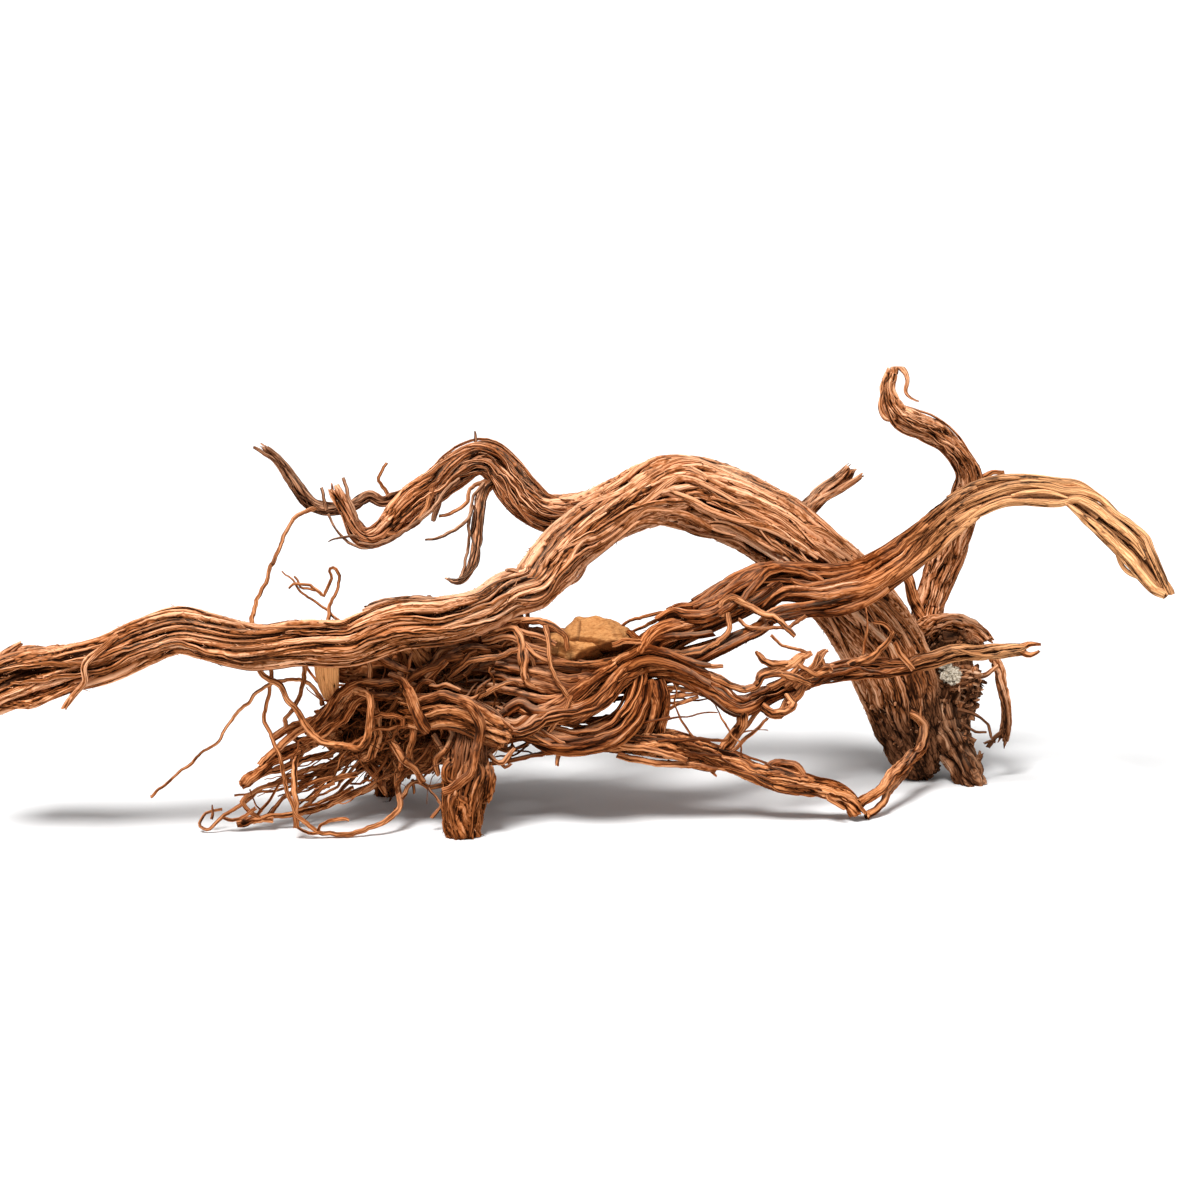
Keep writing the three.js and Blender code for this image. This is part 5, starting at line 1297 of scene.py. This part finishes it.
# Tangle
# The matted roots that fill the space round the collar: the ones that stand out are listed one by one, and
# the many between them wander on their own, from stout ones in the heart to hair-thin ones at the rim.
tangle_wood = wood_material("Tangle wood", (0.64, 0.25, 0.095), (0.23, 0.058, 0.0135), Bleach=0.35, Dirt=0.35)
TANGLE_ROOTS = [
    # at the far left, near the ground
    [[-216, 31, -2, 2.6], [-212, 34, -2, 4.2], [-206, 38, -1, 3.4], [-196, 46, 2, 2.8], [-180, 54, 8, 3]],
    [[-234, 11, 12, 1.1], [-233, 16, 12, 0.9], [-233, 21, 12, 0.4]],
    [[-218, 9, 14, 2.2], [-213, 9.5, 14, 3.2], [-206, 11.5, 14, 2.2], [-196, 14, 15, 1.6]],
    [[-190, 35, 8, 0.9], [-198, 24, 10, 0.8], [-206, 13, 13, 0.8]],
    [[-210, 30, 4, 0.6], [-207, 22, 8, 0.6], [-202, 16, 12, 0.6]],
    [[-170, 4.5, -2, 1.2], [-168, 8, -4, 1], [-163, 11, -5, 1], [-153, 12.5, -5, 1], [-149.5, 11, -5, 0.7]],
    [[-184, 9, -5, 1.1], [-178, 5, -4, 1], [-173, 3, -3, 1], [-168, 4, -2, 1]],
    [[-146, 38, 22, 1.6], [-162, 36, 14, 1.3], [-174, 33, 10, 1], [-186, 27, 8, 0.8]],
    [[-148, 31, 26, 1.2], [-162, 24, 18, 1], [-172, 20, 14, 0.8], [-184, 17, 10, 0.6]],
    [[-228, 14, 10, 1], [-222, 11, 9, 1.2], [-214, 13, 9, 1], [-206, 19, 10, 1]],
    [[-196, 60, 2, 2.4], [-186, 66, 4, 2.6], [-174, 68, 10, 2.8], [-160, 72, 20, 3]],
    [[-204, 44, -1, 2], [-192, 56, 0, 2.2], [-178, 66, 4, 2.4], [-164, 76, 10, 2.6], [-152, 84, 16, 3]],
    # the stout arch over the looped root
    [[-176, 64, 8, 3.2], [-168, 71, 2, 3.2], [-162, 78, -2, 3], [-155, 88, -3, 2.9], [-145, 92.5, -2, 2.9],
     [-133, 93, 0, 2.8], [-120, 93.5, 4, 2.8], [-108, 90, 12, 2.8]],
    [[-178, 58, 10, 2.4], [-166, 63, 4, 2.6], [-154, 72, 0, 2.8], [-146, 82, 0, 2.8], [-136, 86, 4, 2.8],
     [-122, 84, 10, 3]],
    # down the front
    [[-126, 98, 4, 2.4], [-117, 93, -6, 2.8], [-112.5, 85, -11, 3.1], [-110, 77, -12, 3.6],
     [-107.5, 69, -12, 4.4], [-103, 64, -9, 3.4]],
    [[-112, 81, -4, 2.6], [-96, 85.5, -10, 2.9], [-81, 81.5, -13, 3.2], [-74.5, 76, -13, 3.4],
     [-72, 68, -12, 3.4], [-73, 58, -9, 3.2], [-75, 48, -9, 3], [-78, 38, -9, 2.8], [-86, 32, -8, 2.8],
     [-94, 28, -6, 2.4]],
    [[-102, 92, 6, 1.8], [-97, 91, 3, 1.6], [-92, 92, 0, 1.5], [-83, 88.5, -2, 1.1]],
    [[-66, 50, 4, 1.6], [-62, 46, 0, 1.4], [-58, 46, -1, 1.8], [-54, 50, 0, 1.4], [-51, 54, 1, 0.8]],
    [[-60, 47, 0, 1], [-57, 43, 0, 1.2], [-53, 45, 0, 0.8]],
    [[-138, 112, 8, 3.4], [-130, 107, 4, 3.4], [-122, 102, 3, 3], [-112, 99, 6, 2.6], [-100, 98, 12, 2.6]],
    [[-140, 110, 2, 1.5], [-138.5, 102, 1, 1.4], [-138, 94, 2, 1.6]],
    [[-104, 96, 8, 2.4], [-97, 102, 8, 2.6], [-90, 110, 10, 2.6], [-80, 114, 14, 2.8], [-66, 113, 20, 3]],
    [[-130, 66, 18, 2.6], [-124, 58, 12, 2.4], [-118, 48, 10, 2.2], [-112, 42, 14, 2.2], [-106, 34, 20, 2]],
    [[-100, 62, 14, 2], [-94, 52, 8, 1.8], [-92, 44, 6, 1.8], [-90, 36, 6, 2]],
    [[-58, 58, 14, 2], [-66, 52, 10, 1.8], [-72, 44, 4, 1.8], [-70, 36, 2, 2]],
    [[-92, 72, 14, 2.2], [-88, 62, 8, 2], [-92, 54, 4, 2], [-98, 46, 6, 1.8], [-97, 38, 12, 1.6]],
    [[-104, 31, 24, 1.1], [-99, 26, 19, 0.9], [-95, 20, 14, 0.9], [-98, 16, 13, 1], [-101, 12, 13, 1]],
    [[-112.5, 36, 24, 1.2], [-111.5, 26, 24, 0.9]],
    [[-142, 48, 42, 5], [-134, 38, 40, 4], [-128, 26, 38, 1]],
    # behind the trunk limb and towards the stone
    [[-60, 116, 26, 2], [-48, 118, 14, 1.8], [-44, 110, 8, 1.8], [-46, 100, 8, 2], [-42, 92, 10, 2],
     [-30, 88, 10, 2], [-14, 88, 10, 2]],
    [[-64, 104, 14, 3], [-44, 100, 12, 3.2], [-22, 95, 12, 3.4], [0, 95, 14, 3.6], [16, 100, 20, 3.6]],
    [[-66, 98, 18, 3], [-46, 94, 12, 3.2], [-26, 89, 10, 3.2], [-8, 86, 10, 3.2], [8, 92, 12, 3.2]],
    [[-70, 92, 20, 2.6], [-52, 88, 12, 2.6], [-40, 84, 8, 2.6], [-26, 84, 6, 2.6], [-8, 92, 8, 2.6],
     [10, 102, 14, 2.6]],
    [[-62, 127, 14, 1.8], [-46, 132, 14, 1.6], [-32, 128.5, 13, 1.5], [-26, 125, 10, 1.4]],
    [[-58, 128, 18, 1.6], [-46, 124, 15, 1.5], [-34, 121, 13, 1.5], [-26, 116, 12, 1.5]],
    [[-70, 118, 20, 2], [-56, 121, 14, 1.8], [-42, 116, 12, 1.6], [-32, 112, 12, 1.6]],
    [[24, 118, 10, 1.4], [14, 118, 8, 1.6], [7, 116.5, 8, 1.2]],
    [[16, 123, 34, 1], [26, 128, 34, 1], [38, 133, 36, 1.2]],
    # the bend below the stone
    [[-60, 72, 10, 3], [-50, 79, 6, 3.2], [-42, 75, 4, 3.2], [-32, 78, 3, 3.2], [-20, 85, 4, 3.2],
     [-10, 92, 6, 3.4], [10, 104, 10, 3.4]],
    [[-32, 73, 4, 2.4], [-20, 70, 2, 2.8], [-10, 73, 1, 3], [0, 82, 3, 3.2], [8, 93, 6, 3.2],
     [16, 103, 12, 3.2]],
    [[-25, 52, 9, 1.6], [-25.5, 43, 9, 1.1]],
    [[-34, 60, 8, 1.4], [-22, 76, -2, 1.3], [-17, 86, 0, 1.3]],
    [[36, 96, 16, 3], [40, 84, 18, 3], [38, 72, 20, 3], [34, 60, 22, 3]],
    [[30, 92, 14, 3.4], [33, 80, 14, 3.4], [30, 68, 16, 3.4], [22, 58, 18, 3.4]],
    [[10, 50, 16, 2], [30, 46, 18, 2], [50, 44, 20, 2], [70, 41, 24, 2]],
    [[4, 58, 12, 1.6], [20, 55, 12, 1.8], [36, 52, 14, 1.8], [52, 46, 18, 2]],
    # thin roots between the arms
    [[43, 94, 14, 0.8], [46, 88, 14, 0.7], [45, 80, 15, 0.6], [48, 72, 17, 0.6], [56, 60, 22, 0.7]],
    [[58, 88, 14, 0.6], [69, 80, 16, 0.5], [79, 62, 20, 0.5], [84, 57, 22, 0.5], [84, 48, 26, 0.6]],
    [[83, 63, 24, 0.6], [92, 65, 25, 0.4], [101, 64.5, 26, 0.4]],
    [[101, 73, 28, 1.1], [90, 62, 27, 1], [76, 50, 27, 1.2]],
    [[30, 93, 16, 1.2], [50, 89, 16, 1], [62, 90, 14, 1]],
    [[24, 84, 18, 1.2], [38, 84, 18, 1], [52, 86, 17, 1], [66, 90, 15, 1]],
    [[22, 77, 18, 1.1], [36, 82, 19, 1], [52, 87, 17, 1]],
    [[34, 80, 20, 1], [48, 82, 20, 0.8], [60, 86, 17, 1]],
    [[28, 70, 20, 1.2], [42, 78, 20, 1], [56, 84, 17, 1.1]],
    [[100, 88, 25, 1.6], [117, 98, 26, 1.4], [126, 102, 27, 1.4], [132, 107, 28, 1.5], [134, 111, 28, 1.2],
     [137, 113, 28, 0.9]],
    [[118, 96, 27, 2], [128, 99, 29, 2.2], [135, 103, 30, 3], [139, 101, 32, 2]],
    [[159, 139, 52, 0.8], [161, 128, 46, 0.8], [158, 110, 50, 0.8]],
    [[176, 118, 52, 1.4], [180, 111, 54, 1.8], [188, 101, 58, 1.4]],
    [[176, 122, 52, 1.2], [171, 128, 50, 1.1], [164, 130, 50, 0.8]],
    [[252, 114, 79, 2.2], [258, 117, 78, 1.6], [265, 117, 78, 0.8]],
    [[252, 112, 79, 2.2], [258, 110.5, 78, 1.6], [264, 113, 78, 0.8]],
    [[98, 41, 31, 3], [108, 45, 30, 3], [117, 43, 30, 3], [123, 36, 31, 3]],
    [[40, 47, 22, 1.2], [50, 44, 21, 1], [58, 46, 21, 0.7]],
    [[58, 47, 24, 1.2], [66, 41, 24, 1], [71, 37, 24, 0.6]],
    [[192, 70, 102, 1.4], [192.5, 80, 102, 0.8]],
]
limbs(
    "tangle_roots", TANGLE_ROOTS, tangle_wood, roundness=0.75, Sides=13, Ring_spacing=0.002,
    Fibre_width=0.0024, Fibre_length=0.05, Relief=0.0008, Crack_depth=0.0005, Turns_per_metre=4.0,
    Waviness=0.6, Knobs=0.5, Fray=0.001, Wiggle=0.004, Seed=91.0,
)

wanderers, given = geometry_tree(
    "Wandering roots",
    {
        "Count": 40, "Sides": 6, "Points": 28, "Length": 0.08, "Thickness": 0.001, "Centre": (0, 0, 0),
        "Half size": (0, 0, 0), "Heading": (0, 0, 0), "Stray": 0.6, "Bend": 0.04, "Seed": 1.0,
    },
)
seed = given["Seed"]
ball = wanderers.draw((-1, -1, -1), (1, 1, 1), seed, 1)
far = wanderers.vector("LENGTH", ball)
ball = ball / wanderers.vector("MAXIMUM", wanderers.combine(far, far, far), (1, 1, 1))
sockets = {"Count": given["Count"], "Position": given["Centre"] + ball * given["Half size"]}
spots = wanderers.get("GeometryNodePoints", sockets)
line = wanderers.get("GeometryNodeCurvePrimitiveLine", {"Start": (0, 0, -0.5), "End": (0, 0, 0.5)})
line = wanderers.get("GeometryNodeResampleCurve", {"Curve": line, "Count": given["Points"]}, mode="COUNT")
heading = given["Heading"] + wanderers.draw((-1, -1, -1), (1, 1, 1), seed, 2) * given["Stray"]
reach = given["Length"] * wanderers.draw(0.45, 1.4, seed, 3)
placed = planted(
    wanderers, spots, line, facing(wanderers, heading), wanderers.combine(reach, reach, reach),
    lot=wanderers.draw(0.0, 1.0, seed, 4),
)
lot = wanderers.named("lot")
where = wanderers.position() + wanderers.combine(lot * 0.05, 0.0, seed)
placed = wanderers.move(placed, Offset=wanderers.drift(where, 22.0, 3.0, 0.55) * given["Bend"])
taper = wanderers.get("GeometryNodeSplineParameter").range(0.0, 1.0, 1.0, 0.45)
thick = given["Thickness"] * (lot ** 2.0).range(0.0, 1.0, 0.6, 1.7) * taper
thick = thick * wanderers.noise(where, 190.0).range(0.3, 0.7, 0.8, 1.25)
strand_tubes(wanderers, placed, thick, lot, given)


def wandering_roots(part, material, centre, half_size, heading, **values):
    """Roots that wander through a ball-shaped space, given as it is seen from the front."""
    name = part + "_roots"
    bearer = linked(name + " bearer", bpy.data.meshes.new(name + " bearer"))
    return grown(
        name, bearer, wanderers, material, Centre=place(*centre), Half_size=Vector(half_size) * MM,
        Heading=heading, **values,
    )


# part, material, centre, half size (across, back, up), heading; then count, length, thickness, stray and bend
TANGLE_FILL = (
    ("heart", collar_wood, (-112, 76, 42), (46, 30, 24), (-0.7, -0.1, -0.5), 60, 0.085, 0.0021, 0.6, 0.05),
    ("front", tangle_wood, (-112, 70, 18), (48, 14, 24), (-0.6, -0.2, -0.5), 22, 0.07, 0.0012, 0.8, 0.05),
    ("fine", collar_wood, (-108, 66, 26), (54, 24, 28), (-0.4, 0.0, -0.6), 90, 0.04, 0.0005, 1.0, 0.05),
    ("broom", rootlet_wood, (-164, 38, 20), (32, 14, 14), (-0.9, -0.2, -0.42), 18, 0.06, 0.0009, 0.3, 0.03),
    ("cradle", swoop_wood, (-26, 92, 32), (46, 12, 9), (1.0, -0.05, 0.05), 22, 0.09, 0.0019, 0.18, 0.03),
    ("back", collar_wood, (-84, 80, 76), (64, 20, 28), (-0.8, 0.1, -0.3), 50, 0.09, 0.0016, 0.7, 0.05),
    ("upper", collar_wood, (-100, 110, 36), (44, 20, 12), (-0.9, 0.0, -0.1), 34, 0.07, 0.0013, 0.6, 0.04),
    ("under", swoop_wood, (6, 60, 22), (40, 12, 10), (1.0, 0.0, 0.1), 12, 0.09, 0.0017, 0.2, 0.02),
)
for seed, (*placing, count, length, thickness, stray, bend) in enumerate(TANGLE_FILL, start=1):
    wandering_roots(
        *placing, Count=count, Length=length, Thickness=thickness, Stray=stray, Bend=bend, Seed=float(seed),
    )
loose_strands(
    "tangle_strands", [SWOOP, INNER_SWOOP, STONE_CRADLE, PADDLE], tangle_wood, Count=7, Thickness=0.0016,
    Length=0.09, Lift=0.002, Turns_per_metre=1.2, Wander=0.6, Seed=92.0,
)
loose_strands(
    "foot_strands", [FRONT_FOOT], foot_wood, Count=34, Thickness=0.001, Length=0.06, Lift=0.0016,
    Turns_per_metre=2.0, Wander=0.5, Seed=93.0,
)
on_faces(
    feet, splinters, "splinters", foot_wood, Density=100000.0, Length=0.0046, Thickness=0.0002, Lean=0.9,
    Seed=94,
)
on_faces(paddle, splinters, "splinters", limb_wood, Density=30000.0, Length=0.003, Thickness=0.0002, Seed=95)

# Stone
# The ochre stone that the roots have grown round: a block with a bright slanting face, a blunt front and an
# undercut, and a rounder lower body that bulges out to the left below it.
STONE_BLUNTNESS = 24
STONE_SEED = 3
noise.seed_set(STONE_SEED)


def stone_lump(name, middle, half_size, faces, cracks, seed):
    """A lump with blunt broken faces, and with cracks across its front."""
    start = Vector((seed, 0, 0))

    def shape(way):
        bent = way + 0.09 * noise.noise_vector(way * 2.1 + start)
        press = sum(
            max(0.0, bent.dot(Vector(face).normalized())) ** STONE_BLUNTNESS / far ** STONE_BLUNTNESS
            for face, far in faces
        )
        point = way * press ** (-1 / STONE_BLUNTNESS)
        point = Vector([point[axis] * half_size[axis] for axis in range(3)])
        front = max(0.0, min(1.0, 0.5 - way.y * 2.0))
        deep = front * sum(
            depth * math.exp(-(((point.x - at - slant * point.z) / wide) ** 2))
            for at, slant, wide, depth in cracks
        )
        bulge = 0.9 * noise.noise(point * 0.13 + start) + 0.4 * noise.noise(point * 0.4)
        bulge = bulge + 0.2 * noise.noise(point * 1.1) + 0.1 * noise.noise(point * 2.6)
        return place(*middle) + (point + way * (bulge - deep)) * MM, {"hollow": min(1.0, 0.8 * deep)}

    return rounded_mesh(name, 6, ("hollow",), shape)


# each face: the way it looks (across, back, up) and how far out it lies
STONE_BLOCK_FACES = (
    ((0.14, -0.62, 0.78), 0.72), ((-0.04, -0.98, -0.16), 0.84), ((0.92, -0.2, 0.3), 0.84),
    ((0.30, -0.60, -0.74), 0.62), ((0.05, 0.35, 0.93), 0.90), ((-0.95, -0.2, 0.3), 0.90),
    ((0.1, 0.1, -0.99), 0.86), ((0.0, 1.0, 0.0), 0.90), ((-0.62, -0.3, 0.72), 0.86),
    ((0.66, -0.05, 0.74), 0.80), ((0.6, 0.75, 0.2), 0.90), ((-0.6, 0.75, 0.2), 0.90),
)
STONE_BODY_FACES = (
    ((-0.1, -0.95, 0.28), 0.86), ((-0.75, -0.45, 0.48), 0.84), ((0.62, -0.62, -0.48), 0.66),
    ((-0.5, -0.72, -0.48), 0.84), ((0.1, -0.3, 0.95), 0.88), ((0.95, 0.1, 0.3), 0.88),
    ((-0.96, 0.2, -0.2), 0.88), ((0.0, 1.0, 0.0), 0.90), ((0.1, -0.2, -0.97), 0.88), ((0.1, 0.6, 0.8), 0.9),
    ((0.1, 0.6, -0.8), 0.9),
)
# each crack: where it is, how it slants, how wide and how deep it is
STONE_BLOCK_CRACKS = ((-12.3, 0.12, 0.7, 1.3), (13, -0.5, 0.9, 0.5))
STONE_BODY_CRACKS = ((-9.5, 0.3, 0.6, 0.5),)
stone = stone_lump(
    "ochre_stone", (-1.5, 120.5, 32), (22.5, 16.5, 13), STONE_BLOCK_FACES, STONE_BLOCK_CRACKS, 1.0,
)
stone_body = stone_lump(
    "ochre_stone_body", (-17, 112.5, 29), (19, 16, 10.5), STONE_BODY_FACES, STONE_BODY_CRACKS, 7.0,
)

OCHRE = (0.195, 0.063, 0.0125, 1)
LIGHT_OCHRE = (0.32, 0.112, 0.025, 1)
PALE_OCHRE = (0.57, 0.265, 0.092, 1)
VEIN = (0.135, 0.042, 0.01, 1)
GRIT = (0.14, 0.055, 0.018, 1)
CRACK_SHADE = (0.13, 0.05, 0.015, 1)
stone_stuff = bpy.data.materials.new("Ochre stone")
stone_stuff.use_nodes = True
rock = Graph(stone_stuff.node_tree)
surface = stone_stuff.node_tree.nodes["Principled BSDF"].inputs
rock_at = rock.get("ShaderNodeTexCoord", output="Object")
hollow_at = rock.get("ShaderNodeAttribute", output="Fac", attribute_name="hollow")
cloud = rock.noise(rock_at, 95.0, 5.0, 0.62)
grit = rock.noise(rock_at, 900.0, 4.0, 0.7)
vein = rock.noise(rock_at * (1.0, 1.0, 3.2), 160.0, 4.0, 0.6, 1.5)
# faces that look up turn paler along the veins: painted light from above over the veins
pale = rock.get("ShaderNodeNewGeometry", output="Normal").part(2).range(0.0, 0.9, smooth=True)
ochre = cloud.range(0.36, 0.64, smooth=True).mix(OCHRE, LIGHT_OCHRE)
ochre = (pale * vein.range(0.3, 0.6)).mix(ochre, PALE_OCHRE)
ochre = (vein.range(0.56, 0.7) * 0.55).mix(ochre, VEIN)
ochre = (grit.range(0.54, 0.66) * 0.3).mix(ochre, GRIT)
# the cracks are painted darker: painted shade
rock.feed(surface["Base Color"], (hollow_at * 0.75).mix(ochre, CRACK_SHADE))
rock.feed(surface["Roughness"], grit.range(0.3, 0.7, 0.7, 0.95))
sockets = {"Height": grit * 0.5 + vein * 0.8, "Strength": 0.5, "Distance": 0.0009}
rock.feed(surface["Normal"], rock.get("ShaderNodeBump", sockets))
surface["Specular IOR Level"].default_value = 0.2
for lump in (stone, stone_body):
    lump.data.materials.append(stone_stuff)
    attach(lump, "root")
    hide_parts("stone")

# Ground, light and camera
# A plain pale ground under soft studio light: a wide key light from the upper left and a weak fill light from
# the right. The root is seen from the front and a little above.
bpy.ops.mesh.primitive_plane_add(size=80)
ground = bpy.context.object
ground.name = "ground"
pale = bpy.data.materials.new("Pale ground")
pale.use_nodes = True
pale.node_tree.nodes["Principled BSDF"].inputs["Base Color"].default_value = (0.78, 0.78, 0.78, 1)
pale.node_tree.nodes["Principled BSDF"].inputs["Roughness"].default_value = 0.9
ground.data.materials.append(pale)

world = bpy.data.worlds.new("Studio")
scene.world = world
world.use_nodes = True
world.node_tree.nodes["Background"].inputs["Color"].default_value = (1, 1, 1, 1)
world.node_tree.nodes["Background"].inputs["Strength"].default_value = 0.34


def sky_panel(name, towards, softness, strength):
    """A wide soft panel far away in the direction given; its light is even over the whole ground."""
    data = bpy.data.lights.new(name, "SUN")
    data.angle = math.radians(softness)
    data.energy = strength
    light = linked(name, data)
    light.rotation_euler = (-Vector(towards)).to_track_quat("-Z", "Y").to_euler()


sky_panel("Key light", (-0.3, -0.62, 1.2), 22, 4.7)
sky_panel("Fill light", (0.9, -0.7, 0.75), 40, 0.5)

camera_data = bpy.data.cameras.new("Camera")
camera_data.sensor_width = 36
camera_data.lens = 100
camera = linked("Camera", camera_data)
camera.location = (UPWARD * EYE_LINE_UP - ONWARD * EYE_DISTANCE - MIDDLE) * MM
camera.rotation_euler = (math.pi / 2 - EYE_TILT, 0, 0)
scene.camera = camera
